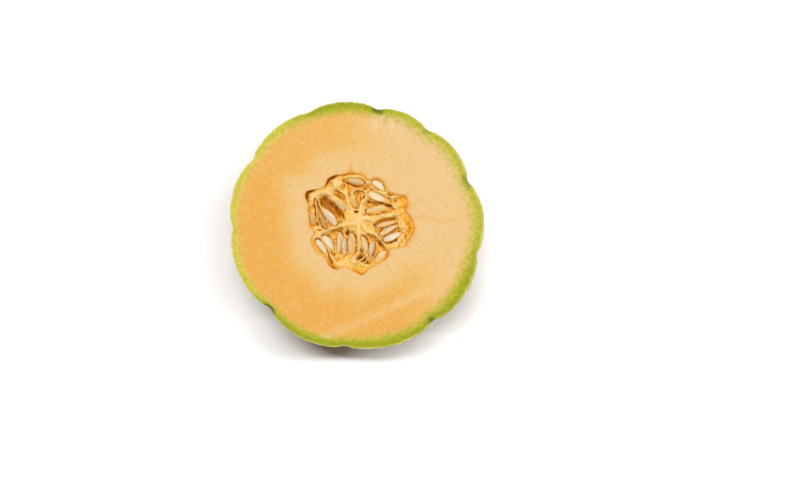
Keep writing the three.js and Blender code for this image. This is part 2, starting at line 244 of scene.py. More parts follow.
@dataclass
class Shape:
    """Points in millimetres from the middle of the cut face, faces as point numbers, and the numbers that
    the material reads, one for each point under each name."""

    points: Array
    quads: Array
    triangles: Array
    values: dict[str, Array]

    @classmethod
    def shell(cls, loops: Array, ends: tuple, **values: tuple[Array, float, float]) -> Shape:
        """Joins loops of points that run anticlockwise and climb the outside, and closes both ends.

        Args:
            loops: points as rows, columns, xyz.
            ends: the point that closes the first loop and the one that closes the last.
            values: under each name, a number for every point of the loops and one for each end.

        Returns:
            The shape, its faces turned outwards and its two end points last.
        """
        rows, columns = loops.shape[:2]
        row, here = np.meshgrid(np.arange(rows - 1) * columns, np.arange(columns), indexing="ij")
        after = (here + 1) % columns
        quads = np.stack([row + here, row + after, row + columns + after, row + columns + here], -1)
        here, after, count, top = here[0], after[0], rows * columns, (rows - 1) * columns
        first = np.stack([after, here, np.full(columns, count)], -1)
        last = np.stack([top + here, top + after, np.full(columns, count + 1)], -1)
        return cls(
            np.concatenate([loops.reshape(-1, 3), ends]),
            quads.reshape(-1, 4),
            np.concatenate([first, last]),
            {name: np.append(field, poles) for name, (field, *poles) in values.items()},
        )

    @classmethod
    def bunch(cls, shapes: Sequence[Shape], ceiling: float) -> Shape:
        """Several shapes as one.

        Args:
            shapes: the shapes, with their points from the hub.
            ceiling: the height that no point passes.

        Returns:
            One shape.
        """
        points = np.concatenate([shape.points for shape in shapes]) + [*HUB, 0]
        points[:, 2] = np.minimum(points[:, 2], ceiling)
        starts = np.cumsum([0, *(len(shape.points) for shape in shapes)])
        quads, triangles = (
            np.concatenate([getattr(shape, kind) + start for shape, start in zip(shapes, starts)])
            for kind in ("quads", "triangles")
        )
        values = {name: np.concatenate([shape.values[name] for shape in shapes]) for name in shapes[0].values}
        return cls(points, quads, triangles, values)


class Piece:
    """A sub-assembly of the melon: each works out its own shape, and all are made and fixed alike."""

    def shape(self) -> Shape:
        """The finished shape."""
        raise NotImplementedError

    def build(self, name: str, slot: str, material: Material, solid: bool = True) -> None:
        """Makes the piece at the origin, with its place in its mesh, fixes it to the melon and reports it.

        Args:
            name: the piece's name, which is also that of the node that it stands for.
            slot: the record's material slot; not used.
            material: the finish.
            solid: whether it stands for a node.
        """
        shape = self.shape()
        mesh = bpy.data.meshes.new(name)
        placed = (shape.points + [0, 0, HEIGHT]) * MM
        mesh.vertices.add(len(placed))
        mesh.vertices.foreach_set("co", placed.astype(np.float32).ravel())
        corners = np.concatenate([shape.quads.ravel(), shape.triangles.ravel()]).astype(np.int32)
        sizes = np.repeat([4, 3], [len(shape.quads), len(shape.triangles)])
        mesh.loops.add(len(corners))
        mesh.loops.foreach_set("vertex_index", corners)
        mesh.polygons.add(len(sizes))
        mesh.polygons.foreach_set("loop_start", (np.cumsum(sizes) - sizes).astype(np.int32))
        mesh.update(calc_edges=True)
        mesh.validate()
        mesh.polygons.foreach_set("use_smooth", np.ones(len(mesh.polygons), bool))
        for key, numbers in shape.values.items():
            layer = mesh.attributes.new(key, "FLOAT", "POINT")
            layer.data.foreach_set("value", numbers.astype(np.float32))
        mesh.materials.append(material)
        piece = bpy.data.objects.new(name, mesh)
        bpy.context.scene.collection.objects.link(piece)
        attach(piece, "root")
        if solid:
            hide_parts(name)
        log.info("%s: %d triangles", piece.name, 2 * len(shape.quads) + len(shape.triangles))


# ---------------------------------------------------------------- node trees


def tone(red: int, green: int, blue: int) -> tuple[float, ...]:
    """A surface colour from how it looks in the studio, 0 to 255: its linear value over the light's level."""
    linear = ((np.array([red, green, blue]) / 255 + 0.055) / 1.055) ** 2.4 / LIGHT
    return (*map(float, linear), 1.0)


class Flow:
    """What a node puts out. A sum written with it adds a Math node."""

    def __init__(self, sheet: Sheet, socket: NodeSocket) -> None:
        """Takes the sheet that sums are added to, and the socket."""
        self.sheet, self.socket = sheet, socket

    def __add__(self, other: Value) -> Flow:
        """The sum."""
        return self.sheet.math("ADD", self, other)

    def __mul__(self, other: Value) -> Flow:
        """The product."""
        return self.sheet.math("MULTIPLY", self, other)

    def __sub__(self, other: Value) -> Flow:
        """This less the other."""
        return self.sheet.math("SUBTRACT", self, other)

    def __rsub__(self, other: Value) -> Flow:
        """The other less this."""
        return self.sheet.math("SUBTRACT", other, self)

    def __truediv__(self, other: Value) -> Flow:
        """This over the other."""
        return self.sheet.math("DIVIDE", self, other)

    __radd__, __rmul__ = __add__, __mul__


Value = Flow | float


class Sheet:
    """A node tree under construction: each method adds a node and gives what it puts out."""

    def __init__(self, tree: NodeTree) -> None:
        """Takes the tree to add to."""
        self.tree = tree

    def add(self, kind: str, inputs: dict, output: int | str = 0, **settings: object) -> Flow:
        """Adds a node.

        Args:
            kind: the node's type, without the word that all shader nodes start with.
            inputs: what flows in or a value to set, by the input's name or number.
            output: the output that is wanted.
            settings: the node's own settings.

        Returns:
            What the output gives.
        """
        node = self.tree.nodes.new("ShaderNode" + kind)
        for key, value in settings.items():
            setattr(node, key, value)
        self.feed(node, inputs)
        return Flow(self, node.outputs[output])

    def feed(self, node: Node, inputs: dict) -> None:
        """Links or sets a node's inputs.

        Args:
            node: the node.
            inputs: what flows in or a value to set, by the input's name or number.
        """
        for key, value in inputs.items():
            if isinstance(value, Flow):
                self.tree.links.new(value.socket, node.inputs[key])
            else:
                node.inputs[key].default_value = value

    def math(self, operation: str, *inputs: Value) -> Flow:
        """One sum on one or two numbers."""
        return self.add("Math", dict(enumerate(inputs)), operation=operation)

    def step(self, value: Value, low: float, high: float) -> Flow:
        """A smooth step from 0 at low to 1 at high."""
        ends = {1: min(low, high), 2: max(low, high), 3: float(low > high), 4: float(low < high)}
        return self.add("MapRange", {0: value, **ends}, interpolation_type="SMOOTHSTEP")

    def mix(self, share: Value, low: object, high: object, how: str = "MIX") -> Flow:
        """The colour that lies a share of the way from one to the other."""
        return self.add("Mix", {0: share, 6: low, 7: high}, 2, data_type="RGBA", blend_type=how)

    def tint(self, base: Flow, share: Value, *look: int) -> Flow:
        """A colour drawn by a share towards one with this look in the studio."""
        return self.mix(share, base, tone(*look))

    def ramp(self, value: Value, stops: Rows) -> Flow:
        """A run of colours.

        Args:
            value: what picks the colour.
            stops: each colour's value and its look in the studio.

        Returns:
            The colour.
        """
        flow = self.add("ValToRGB", {0: value})
        band = flow.socket.node.color_ramp
        while len(band.elements) < len(stops):
            band.elements.new(0.5)
        for element, (place, *look) in zip(band.elements, stops):
            element.position = place
            element.color = tone(*look)
        return flow

    def shade(self, base: Flow, value: Flow, low: float, high: float, *dark: float) -> Flow:
        """A colour multiplied by one that goes straight from dark to white.

        Args:
            base: the colour.
            value: what darkens it.
            low: the value at which it is darkest.
            high: the value at which it stays as it is.
            dark: the darkest factor for red, green and blue.

        Returns:
            The darker colour.
        """
        flow = self.add("ValToRGB", {0: value})
        elements = flow.socket.node.color_ramp.elements
        for element, place, colour in zip(elements, (low, high), (dark, (1, 1, 1))):
            element.position, element.color = place, (*colour, 1)
        return self.mix(1.0, base, flow, "MULTIPLY")

    def vector(self, operation: str, *inputs: object, output: int = 0, **more: object) -> Flow:
        """One sum on vectors."""
        return self.add("VectorMath", {**dict(enumerate(inputs)), **more}, output, operation=operation)

    def place(self) -> Flow:
        """Millimetres from the middle of the cut face."""
        coordinates = self.add("TexCoord", {}, "Object")
        shift = {"Vector": coordinates, "Scale": (1000, 1000, 1000), "Location": (0, 0, -HEIGHT)}
        return self.add("Mapping", shift)

    def axes(self, point: Flow) -> list[Flow]:
        """A point's x, y and z."""
        node = self.add("SeparateXYZ", {0: point}).socket.node
        return [Flow(self, socket) for socket in node.outputs]

    def noise(self, place: Flow, size: float, detail: float = 2, rough: float = 0.5) -> Flow:
        """Smooth noise from 0 to 1, its lumps about this many millimetres across."""
        inputs = {"Vector": place, "Scale": 1 / size, "Detail": detail, "Roughness": rough}
        return self.add("TexNoise", inputs)

    def value(self, name: str) -> Flow:
        """The number stored on the mesh under this name."""
        return self.add("Attribute", {}, "Fac", attribute_name=name)

    def bump(self, height: Flow, depth: float) -> Flow:
        """A normal bent by a height from 0 to 1, this many millimetres deep."""
        return self.add("Bump", {"Height": height, "Distance": depth * MM, "Strength": 1.0})


class Kind(Enum):
    """What a group's socket carries."""

    NUMBER = "NodeSocketFloat"
    COLOUR = "NodeSocketColor"
    POINT = "NodeSocketVector"


class Group:
    """A node group that several finishes share, built once."""

    def __init__(self, name: str, inputs: dict[str, Kind], outputs: dict[str, Kind]) -> None:
        """Makes an empty group.

        Args:
            name: its name.
            inputs: what each input carries.
            outputs: what each output carries.
        """
        self.tree = bpy.data.node_groups.new(name, "ShaderNodeTree")
        for side, sockets in (("INPUT", inputs), ("OUTPUT", outputs)):
            for label, kind in sockets.items():
                self.tree.interface.new_socket(label, in_out=side, socket_type=kind.value)
        self.sheet = Sheet(self.tree)
        given = self.tree.nodes.new("NodeGroupInput").outputs[: len(inputs)]
        self.inputs = [Flow(self.sheet, socket) for socket in given]
        self.end = self.tree.nodes.new("NodeGroupOutput")
        self.labels = list(outputs)

    def place(self, sheet: Sheet, inputs: dict[str, Value]) -> list[Flow]:
        """Puts the group into a material, with these inputs, and gives what it puts out, in order."""
        node = sheet.add("Group", inputs, self.labels[0], node_tree=self.tree).socket.node
        return [Flow(sheet, node.outputs[label]) for label in self.labels]


def mottle_group() -> Group:
    """Blotches in moist plant tissue.

    Returns:
        A group that takes a point and gives broad blotches, small specks and fine grain, each 0 to 1.
    """
    kinds = {"Broad": (14, 3, 0.55), "Specks": (2.4, 3, 0.6), "Grain": (0.55, 2, 0.6)}
    group = Group("mottle", {"Point": Kind.POINT}, {label: Kind.NUMBER for label in kinds})
    noises = {label: group.sheet.noise(group.inputs[0], *numbers) for label, numbers in kinds.items()}
    group.sheet.feed(group.end, noises)
    return group


GREEN_RIND: Rows = (
    (0.0, 238, 230, 160), (0.035, 208, 202, 96), (0.1, 176, 178, 40), (0.2, 167, 172, 24),
    (0.32, 176, 180, 32), (0.46, 192, 189, 50), (0.6, 210, 192, 70), (0.78, 228, 191, 86),
)
YELLOW_RIND: Rows = (
    (0.0, 246, 242, 186), (0.05, 232, 226, 138), (0.12, 223, 213, 90), (0.24, 221, 211, 72),
    (0.38, 226, 211, 80), (0.52, 231, 211, 96), (0.68, 235, 205, 102), (0.85, 239, 196, 97),
)
FLESH: Rows = ((0.0, 248, 184, 85), (0.33, 249, 196, 106), (0.66, 249, 206, 134), (1.0, 248, 211, 150))
# Pulp by shade: cream to orange is its own colour, the browns at the dark end are painted shade.
PULP: Rows = (
    (0.0, 254, 216, 138), (0.18, 250, 200, 106), (0.36, 243, 178, 72), (0.54, 229, 154, 46),
    (0.72, 206, 134, 28), (0.86, 186, 116, 15), (1.0, 160, 95, 6),
)
# Seeds by rim: cream in the middle; towards the brown end the rim is partly beige and partly painted shade.
SEED: Rows = (
    (0.0, 239, 228, 203), (0.25, 242, 218, 172), (0.5, 240, 202, 134), (0.75, 231, 177, 92),
    (1.0, 202, 136, 50),
)


def cut_group(mottle: Group) -> Group:
    """Colour of the melon across its cut, from the skin through the green rind to the flesh.

    Depth is 0 at the skin, 1 where the rind ends and more in the flesh. Wall is the distance from the
    seed cavity in millimetres. Dip is the furrow's depth, from 0 to 1.

    Args:
        mottle: the shared blotches.

    Returns:
        The group, which gives a colour and a height for a bump.
    """
    inputs = {"Depth": Kind.NUMBER, "Wall": Kind.NUMBER, "Dip": Kind.NUMBER}
    group = Group("cut_face", inputs, {"Color": Kind.COLOUR, "Height": Kind.NUMBER})
    sheet, (depth, wall, dip) = group.sheet, group.inputs
    point = sheet.place()
    broad, specks, grain = mottle.place(sheet, {"Point": point})
    x, y, _ = sheet.axes(point)
    way = sheet.vector("LENGTH", point, output=1)
    # Paler towards one side, towards the top and round the cavity, and a deep orange opposite.
    pale = 0.2 * sheet.step(y, 0, 60) + 0.86 * sheet.step(0.94 * x + 0.342 * y, 0, 50)
    pale = 1 - (1 - 0.86 * sheet.step(wall, 23, 3)) * (1 - pale)
    flesh = sheet.ramp(pale + 0.4 * broad - 0.2, FLESH)
    # Fine pale fibres that run from the cavity to the rind.
    turn = sheet.math("ARCTAN2", y - HUB[1], x - HUB[0])
    polar = sheet.add("CombineXYZ", {0: 34 * turn, 1: 0.13 * way})
    fibre = sheet.step(sheet.noise(polar, 1.0, 3, 0.65), 0.48, 0.78)
    flesh = sheet.tint(flesh, fibre * (0.1 * sheet.step(depth, 6.5, 1.5) + 0.18), 250, 224, 172)
    flesh = sheet.tint(flesh, 0.42 * sheet.step(specks, 0.45, 0.3), 232, 168, 84)
    flesh = sheet.tint(flesh, 0.38 * sheet.step(specks, 0.56, 0.7), 250, 222, 168)
    flesh = sheet.shade(flesh, grain, 0.3, 0.7, 0.88, 0.82, 0.72)
    dots = sheet.add("TexVoronoi", {"Vector": point, "Scale": 0.13}, "Distance")
    flesh = sheet.tint(flesh, 0.5 * sheet.step(dots, 0.07, 0.035), 206, 126, 52)
    # The rind: green, but yellow on the far side from its thick one and milky beside that.
    wander = depth + 0.26 * (specks - 0.5) + 0.5 * (broad - 0.5)
    outwards = sheet.math("MAXIMUM", way, 1.0)
    yellow = sheet.step((0.259 * y - 0.966 * x) / outwards + 0.6 * broad - 0.3, 0.45, 0.9)
    paler = sheet.step((0.866 * x + 0.5 * y) / outwards, 0.55, 0.9)
    yellow = sheet.math("MAXIMUM", yellow, 0.55 * paler)
    rind = sheet.mix(yellow, *(sheet.ramp(0.5 * wander, stops) for stops in (GREEN_RIND, YELLOW_RIND)))
    rind = sheet.tint(rind, 0.66 * paler * sheet.step(wander, 0.35, 1.6), 240, 208, 152)
    rind = sheet.shade(rind, specks, 0.35, 0.62, 0.82, 0.8, 0.5)
    # A pale line at the skin, and dark streaks in the furrows.
    rind = sheet.tint(rind, 0.5 * sheet.step(depth, 0.13, 0.02) * (1 - paler), 240, 232, 172)
    dark = sheet.step(dip, 0.62, 0.92) * sheet.step(wander, 1.6, 0.1)
    rind = sheet.tint(rind, dark * (0.92 - 0.9 * yellow), 70, 82, 4)
    colour = sheet.mix(sheet.step(wander, 1.1, 2.15), rind, flesh)
    sheet.feed(group.end, {"Color": colour, "Height": 0.6 * specks + 0.4 * grain})
    return group


@dataclass(frozen=True)
class Finish:
    """A moist natural surface: how rough and glossy it is, and how much light spreads below it."""

    name: str
    roughness: float
    gloss: float
    spread: float = 0.0
    spread_depth: float = 1.0

    def start(self) -> tuple[Material, Sheet]:
        """Makes the material, with its shader set.

        Returns:
            The material and its node sheet.
        """
        material = bpy.data.materials.new(self.name)
        material.use_nodes = True
        sheet = Sheet(material.node_tree)
        constants = {
            "Roughness": self.roughness,
            "Subsurface Weight": self.spread,
            "Subsurface Scale": self.spread_depth * MM,
            "Subsurface Radius": (1.0, 0.55, 0.25),
            "Specular IOR Level": self.gloss,
        }
        sheet.feed(sheet.tree.nodes["Principled BSDF"], constants)
        return material, sheet

    @staticmethod
    def dress(sheet: Sheet, colour: Flow, height: Flow, depth: float, **more: Flow) -> None:
        """Gives the shader its colour, a bump this many millimetres deep, and more inputs by name."""
        inputs = {"Base Color": colour, "Normal": sheet.bump(height, depth), **more}
        sheet.feed(sheet.tree.nodes["Principled BSDF"], inputs)


def rind_material(cut: Group, mottle: Group) -> Material:
    """Khaki skin under a pale cork net, grey-green furrows, a blossom scar, and the green cut.

    Args:
        cut: the shared colour of the cut.
        mottle: the shared blotches.

    Returns:
        The material. It reads depth, dip, net and furrow from the mesh.
    """
    material, sheet = Finish("melon_rind", 0.6, 0.12).start()
    point = sheet.place()
    x, y, z = sheet.axes(point)
    broad, specks, grain = mottle.place(sheet, {"Point": point})
    depth, dip, net, furrow = (sheet.value(name) for name in ("depth", "dip", "net", "furrow"))
    # Bare skin between the cork, pitted, with finer cracks of its own.
    swirl = sheet.add("TexNoise", {"Vector": point, "Scale": 0.5, "Detail": 2.0}, 1)
    swirl = sheet.vector("SCALE", sheet.vector("SUBTRACT", swirl, (0.5, 0.5, 0.5)), Scale=2.4)
    bent = sheet.vector("ADD", point, swirl)
    cracks = sheet.add("TexVoronoi", {"Vector": bent, "Scale": 0.62}, feature="DISTANCE_TO_EDGE")
    zone = sheet.step(sheet.noise(point, 26), 0.4, 0.64)
    skin = sheet.mix(zone, tone(212, 176, 104), tone(192, 156, 90))
    pits = sheet.step(sheet.noise(bent, 1.25, 2, 0.6), 0.5, 0.66) * (0.55 * zone + 0.3)
    skin = sheet.tint(skin, pits, 134, 102, 58)
    skin = sheet.tint(skin, 0.4 * sheet.step(specks, 0.5, 0.7), 172, 156, 84)
    cork = sheet.mix(specks, tone(216, 180, 108), tone(236, 202, 130))
    ridge = sheet.math("MAXIMUM", sheet.step(net, 0.25, 0.75), 0.7 * sheet.step(cracks, 0.2, 0.03))
    skin = sheet.mix(0.72 * ridge, skin, cork)
    # The smooth stripe in a furrow, soft and torn at its edges, with paler margins.
    torn = furrow - 1.4 + 2.8 * specks + 3.0 * (broad - 0.5)
    stripe = sheet.mix(specks, tone(132, 130, 74), tone(182, 168, 100))
    edge = sheet.step(torn, 1.2, 3.0) * sheet.step(torn, 5.4, 3.6)
    stripe = sheet.tint(stripe, 0.7 * edge, 230, 206, 134)
    smooth = sheet.step(torn, 4.8, 2.8)
    worn = 0.4 * sheet.step(sheet.noise(point, 50, 1), 0.36, 0.54) + 0.6
    colour = sheet.mix(smooth * worn, skin, stripe)
    # The corky scar where the blossom was, with a darker ring round it.
    across = sheet.vector("LENGTH", sheet.add("CombineXYZ", {0: x, 1: y}), output=1) + 1.6 * (specks - 0.5)
    scar = sheet.step(across, 6.4, 5.2) * sheet.step(z, 4 - HEIGHT, 2 - HEIGHT)
    colour = sheet.tint(colour, 0.6 * scar, 206, 178, 124)
    colour = sheet.tint(colour, 0.6 * scar * sheet.step(across, 4.2, 5.4), 122, 92, 54)
    # A lime tint just under the cut.
    colour = sheet.tint(colour, 0.8 * sheet.step(z + 5 * broad, -4.5, 1.6), 184, 180, 68)
    face, face_height = cut.place(sheet, {"Depth": depth, "Wall": 40.0, "Dip": dip})
    on_cut = sheet.add("Math", {0: depth, 1: 60.0}, operation="MULTIPLY", use_clamp=True)
    relief = ridge * (0.6 - 0.5 * smooth) + 0.3 * grain
    relief = relief * (1 - on_cut) + 0.2 * on_cut * face_height
    rough = 0.2 * sheet.step(furrow, 2.0, 4.0) + 0.5 - 0.1 * on_cut
    Finish.dress(sheet, sheet.mix(on_cut, colour, face), relief, 0.5, Roughness=rough)
    return material


def flesh_material(cut: Group) -> Material:
    """Moist orange flesh with the cut's colours, stains, scars and a deeper wall.

    Args:
        cut: the shared colour of the cut.

    Returns:
        The material. It reads depth, wall, stain and scar from the mesh.
    """
    material, sheet = Finish("melon_flesh", 0.55, 0.12).start()
    depth, wall, stain, scar = (sheet.value(name) for name in ("depth", "wall", "stain", "scar"))
    face, height = cut.place(sheet, {"Depth": depth, "Wall": wall, "Dip": 0.0})
    colour = sheet.tint(face, stain, 238, 160, 44)
    colour = sheet.tint(colour, scar, 250, 222, 170)
    colour = sheet.tint(colour, sheet.step(wall, -0.3, -2.5), 222, 128, 30)
    Finish.dress(sheet, colour, height, 0.14)
    return material


def pulp_material(mottle: Group) -> Material:
    """Wet pulp, cream to orange, with painted shade that runs to brown in its creases, holes and gaps.

    Args:
        mottle: the shared blotches.

    Returns:
        The material. It reads shade, painted shade from crest to crease, and amber from the mesh.
    """
    material, sheet = Finish("melon_pulp", 0.36, 0.22, 0.35).start()
    _, specks, grain = mottle.place(sheet, {"Point": sheet.place()})
    shade = sheet.value("shade") + 0.3 * (specks - 0.5) + 0.16 * (grain - 0.5)
    # The run gives the painted shade as darker browns.
    colour = sheet.ramp(shade, PULP)
    amber = sheet.mix(1.0, colour, (1.0, 0.82, 0.2, 1), "MULTIPLY")
    colour = sheet.mix(sheet.value("amber"), colour, amber)
    Finish.dress(sheet, colour, 0.5 * specks + 0.5 * grain, 0.3)
    return material


def seed_material(mottle: Group) -> Material:
    """Wet cream seeds, browner at the root, and darker at the rim, partly a beige edge and partly painted
    shade.

    Args:
        mottle: the shared blotches.

    Returns:
        The material. It reads rim from the mesh.
    """
    material, sheet = Finish("melon_seed", 0.34, 0.35, 0.3).start()
    _, specks, grain = mottle.place(sheet, {"Point": sheet.place()})
    # The rim value darkens the seed: dullness, a browner root, and sides that are partly beige edge, partly
    # painted shade.
    Finish.dress(sheet, sheet.ramp(sheet.value("rim") + 0.6 * (specks - 0.5), SEED), grain, 0.06)
    return material


# ---------------------------------------------------------------- the melon's form


@dataclass(frozen=True)
class MelonForm:
    """The outer form that the rind and the flesh share.

    The cut face is wider by stretch along stretch_angle and flatter by press round press_angle. Each furrow
    is its angle and its depth at the cut, spread is its breadth in degrees, blunt how many degrees its
    bottom is rounded over, and fade the power of the cosine of the drop that it dies out with. The rind's
    thickness is rind, uneven is the share by which that grows towards thick_side, inner_ribbing is how much
    of the furrows its inner side follows, and inner_end is the drop at which that side is closed.
    """

    face_radius: float = 71.9
    stretch: float = 1.1
    stretch_angle: float = 160
    press: float = 1.1
    press_angle: float = 277
    press_width: float = 17
    dome_depth: float = 75.5
    spread: float = 8
    blunt: float = 1.2
    fade: float = 0.6
    rind: float = 4.6
    uneven: float = 0.3
    thick_side: float = 5
    inner_ribbing: float = 0.45
    inner_end: float = 84
    furrows: Rows = (
        (21.8, 3.9), (53.4, 3.0), (79.5, 3.6), (113.2, 1.7), (147.2, 3.0),
        (180.9, 2.5), (223.5, 4.0), (264.6, 2.1), (308.6, 3.3), (346.7, 2.7),
    )

    def apart(self, angle: Array) -> Array:
        """Degrees from each angle to each furrow, on a new last axis."""
        return np.abs(between(np.asarray(angle)[..., None], np.array(self.furrows)[:, 0]))

    def dip(self, angle: Array) -> Array:
        """Depth of the furrows: each fades as e to the power of minus the angle from it over the spread."""
        away = np.sqrt(self.apart(angle) ** 2 + self.blunt**2) - self.blunt
        return np.exp(-away / self.spread) @ np.array(self.furrows)[:, 1]

    def furrow_distance(self, angle: Array, drop: Array) -> Array:
        """Millimetres over the skin to the nearest furrow."""
        return np.radians(self.apart(angle).min(-1)) * self.face_radius * np.cos(np.radians(drop))

    def thickness(self, angle: Array) -> Array:
        """The rind's thickness, which grows towards one side as a cosine."""
        return self.rind * (1 + self.uneven * np.cos(np.radians(angle - self.thick_side)))

    def skin(self, angle: Array, drop: Array, lift: Array | float = 0, ribbing: float = 1) -> Array:
        """Points of the skin: a dome round the Z axis, wide along one line and pressed in by the furrows.

        Its radius is that of the cut face less the furrows, times the cosine of the drop, and its depth is
        the dome's times the sine of the drop. It is cut flat where the half rests, and a little flat on one
        side, where e to the power of minus the squared angle over the press's width is taken off.

        Args:
            angle: round the melon, in degrees.
            drop: from the cut face, 0, to the rounded end, 90.
            lift: how far the point stands out from the skin.
            ribbing: the share of the furrows that it follows.

        Returns:
            The points.
        """
        angle, drop, lift = np.broadcast_arrays(angle, drop, lift)
        out, down = np.cos(np.radians(drop)), np.sin(np.radians(drop))
        stretch = self.stretch * np.cos(2 * np.radians(angle - self.stretch_angle))
        press = self.press * bell(between(angle, self.press_angle), self.press_width)
        crest = self.face_radius + stretch - press
        radius = (crest - ribbing * self.dip(angle) * np.maximum(out, 0) ** self.fade + lift) * out
        depth = np.maximum(-(self.dome_depth + lift) * down, -HEIGHT)
        return raised(radius[..., None] * turned(angle), depth)

    def inner(self, angle: Array, drop: Array) -> Array:
        """Points where the rind meets the flesh."""
        return self.skin(angle, drop, -self.thickness(angle), self.inner_ribbing)

    def inner_foot(self) -> Array:
        """The lowest point where the rind meets the flesh."""
        return np.array([0, 0, self.rind - self.dome_depth])


@dataclass(frozen=True)
class Cavity:
    """The seed cavity: its depth, and its lobed edge at the cut face as angle and radius about the hub."""

    depth: float = 42
    wobble: float = 0.9
    edge: Rows = (
        (5.9, 28.4), (10.2, 27.2), (14.8, 28.6), (21.7, 30.3), (25.6, 30.3), (29.2, 27.9), (33.1, 26.2),
        (36.9, 25), (41.5, 23.4), (47.1, 23.4), (51.7, 24.7), (57.2, 26), (62.2, 26.1), (67.8, 25.2),
        (71.2, 24.1), (75, 22.9), (80.8, 24.4), (86.6, 25.1), (94.3, 26.1), (101.6, 26.5), (110.3, 26.7),
        (117.5, 28.4), (125.4, 28.6), (131, 28), (136.2, 26.5), (141.4, 28), (144.8, 29.9), (150.4, 33),
        (154, 33.3), (157.2, 32.5), (159.9, 31.1), (165.3, 28.7), (170.3, 28.4), (177.1, 28), (184.2, 27.6),
        (189.2, 27.6), (193.5, 25.8), (198.5, 26.4), (201.5, 28), (205.8, 29.2), (211.4, 30), (217.1, 30),
        (223, 29.3), (227.8, 29), (232.6, 28.9), (237, 30.6), (243.3, 31.4), (248.3, 30.2), (252.1, 28.7),
        (256.8, 27.5), (261.1, 28.4), (265.3, 29.4), (272.7, 31.5), (276.3, 31.2), (279.5, 29.7),
        (284, 28.1), (290.5, 27.7), (302.5, 27.2), (307.7, 27.2), (311.9, 26.2), (315.5, 24.4), (320, 25.5),
        (326.5, 29.2), (331.3, 30.6), (341.5, 30.8), (347.7, 32.4), (352.2, 32.4), (356.3, 31.3),
    )

    def radius(self, turn: Array) -> Array:
        """Distance of the edge from the hub: its corners, smoothed, with a fine wobble.

        Args:
            turn: angles about the hub, in degrees.

        Returns:
            The distance at each angle.
        """
        corners = np.array([turned(angle) * radius for angle, radius in self.edge])
        chain = rounded(corners, closed=True)
        angles = np.degrees(np.arctan2(chain[:, 1], chain[:, 0])) % 360
        order = np.argsort(angles)
        plain = np.interp(turn % 360, angles[order], np.linalg.norm(chain, axis=1)[order], period=360)
        return plain + self.wobble * (Noise.fractal(raised(turned(turn) * 28), 2.6, 3, 7) - 0.5)


# ---------------------------------------------------------------- rind


@dataclass
class Rind(Piece):
    """The shell: netted skin outside, the green cut on top, and the wall that the flesh fills.

    coarse and fine are the net's two sets of cells, each a cell's size and its wall's width as a share of
    that. along is how much longer they are up the ribs, wander how far they are bent, and clear how far
    from a furrow the net begins and is whole. deepest is the furrow depth that counts as a full dip.
    """

    form: MelonForm
    columns: int = 668
    rows: int = 116
    net_height: float = 0.66
    coarse: tuple[float, float] = (3.4, 0.2)
    fine: tuple[float, float] = (2.2, 0.28)
    along: float = 1 / 0.82
    wander: float = 3.6
    clear: tuple[float, float] = (2.2, 4.2)
    deepest: float = 4
    flat_rings: tuple[float, ...] = (0.25, 0.5, 0.75)
    cut_rings: tuple[float, ...] = (0.02, 0.08, 0.18, 0.3, 0.45, 0.6, 0.75, 0.88, 0.997, 1.0)
    inner_rows: int = 6

    def net(self, base: Array, furrow: Array) -> Array:
        """The cork net's height, from 0 to 1, over points of the plain skin.

        It is the walls between irregular cells, a coarse set and a fine set. Both wander with noise, are
        longer along the ribs than across them, and stay out of the smooth furrows.

        Args:
            base: points of the skin.
            furrow: distance of each from the nearest furrow.

        Returns:
            The height at each point.
        """
        bent = base * [1, 1, 1 / self.along] + self.wander * Noise.sway(base, 4, 11)
        coarse = Noise.walls(bent, *self.coarse, 20) * (0.55 + 0.35 * Noise.smooth(base, 9, 51))
        fine = Noise.walls(bent, *self.fine, 40) * (0.35 + 0.45 * Noise.smooth(base, 7, 50))
        edge = furrow + 2.2 * (Noise.fractal(base, 4, 2, 60) - 0.5)
        return np.maximum(coarse, fine) * rise(*self.clear, edge)

    def shape(self) -> Shape:
        """The shell, from the flat spot up the outside, over the cut and down the inside.

        Returns:
            The shape, with depth, dip, net and furrow for the material.
        """
        form = self.form
        angle = np.arange(self.columns) * 360 / self.columns
        foot = np.degrees(np.arcsin(HEIGHT / form.dome_depth))
        drops = np.append(np.linspace(foot, 0, self.rows)[:-1], [0.12, 0.0])[:, None]
        base = form.skin(angle, drops)
        # Each furrow's stripe narrows to a point as it nears the flat spot.
        furrow = form.furrow_distance(angle, drops) + 5 * rise(foot - 9, foot + 2, drops)
        net = self.net(base, furrow) * rise(foot, foot - 6, drops)
        outside = form.skin(angle, drops, net * self.net_height)
        flat = base[:1] * np.array(self.flat_rings)[:, None, None] * [1, 1, 0] + [0, 0, -HEIGHT]
        shares = np.array(self.cut_rings)[:, None]
        cut = blend(outside[-1:], form.inner(angle, np.zeros((1, 1))), shares[..., None])
        inside = form.inner(angle, np.linspace(0, form.inner_end, self.inner_rows + 1)[1:, None])
        bands, dip = (flat, outside, cut, inside), form.dip(angle) / self.deepest
        return Shape.shell(
            np.concatenate(bands),
            ([0, 0, -HEIGHT], form.inner_foot()),
            depth=(over(bands, 0, 0, shares, 1), 0, 0),
            dip=(over(bands, 0, dip, dip, 0), 0, 0),
            net=(over(bands, 0, net, 0, 0), 0, 0),
            furrow=(over(bands, 10, furrow, 10, 10), 0, 0),
        )


# ---------------------------------------------------------------- flesh


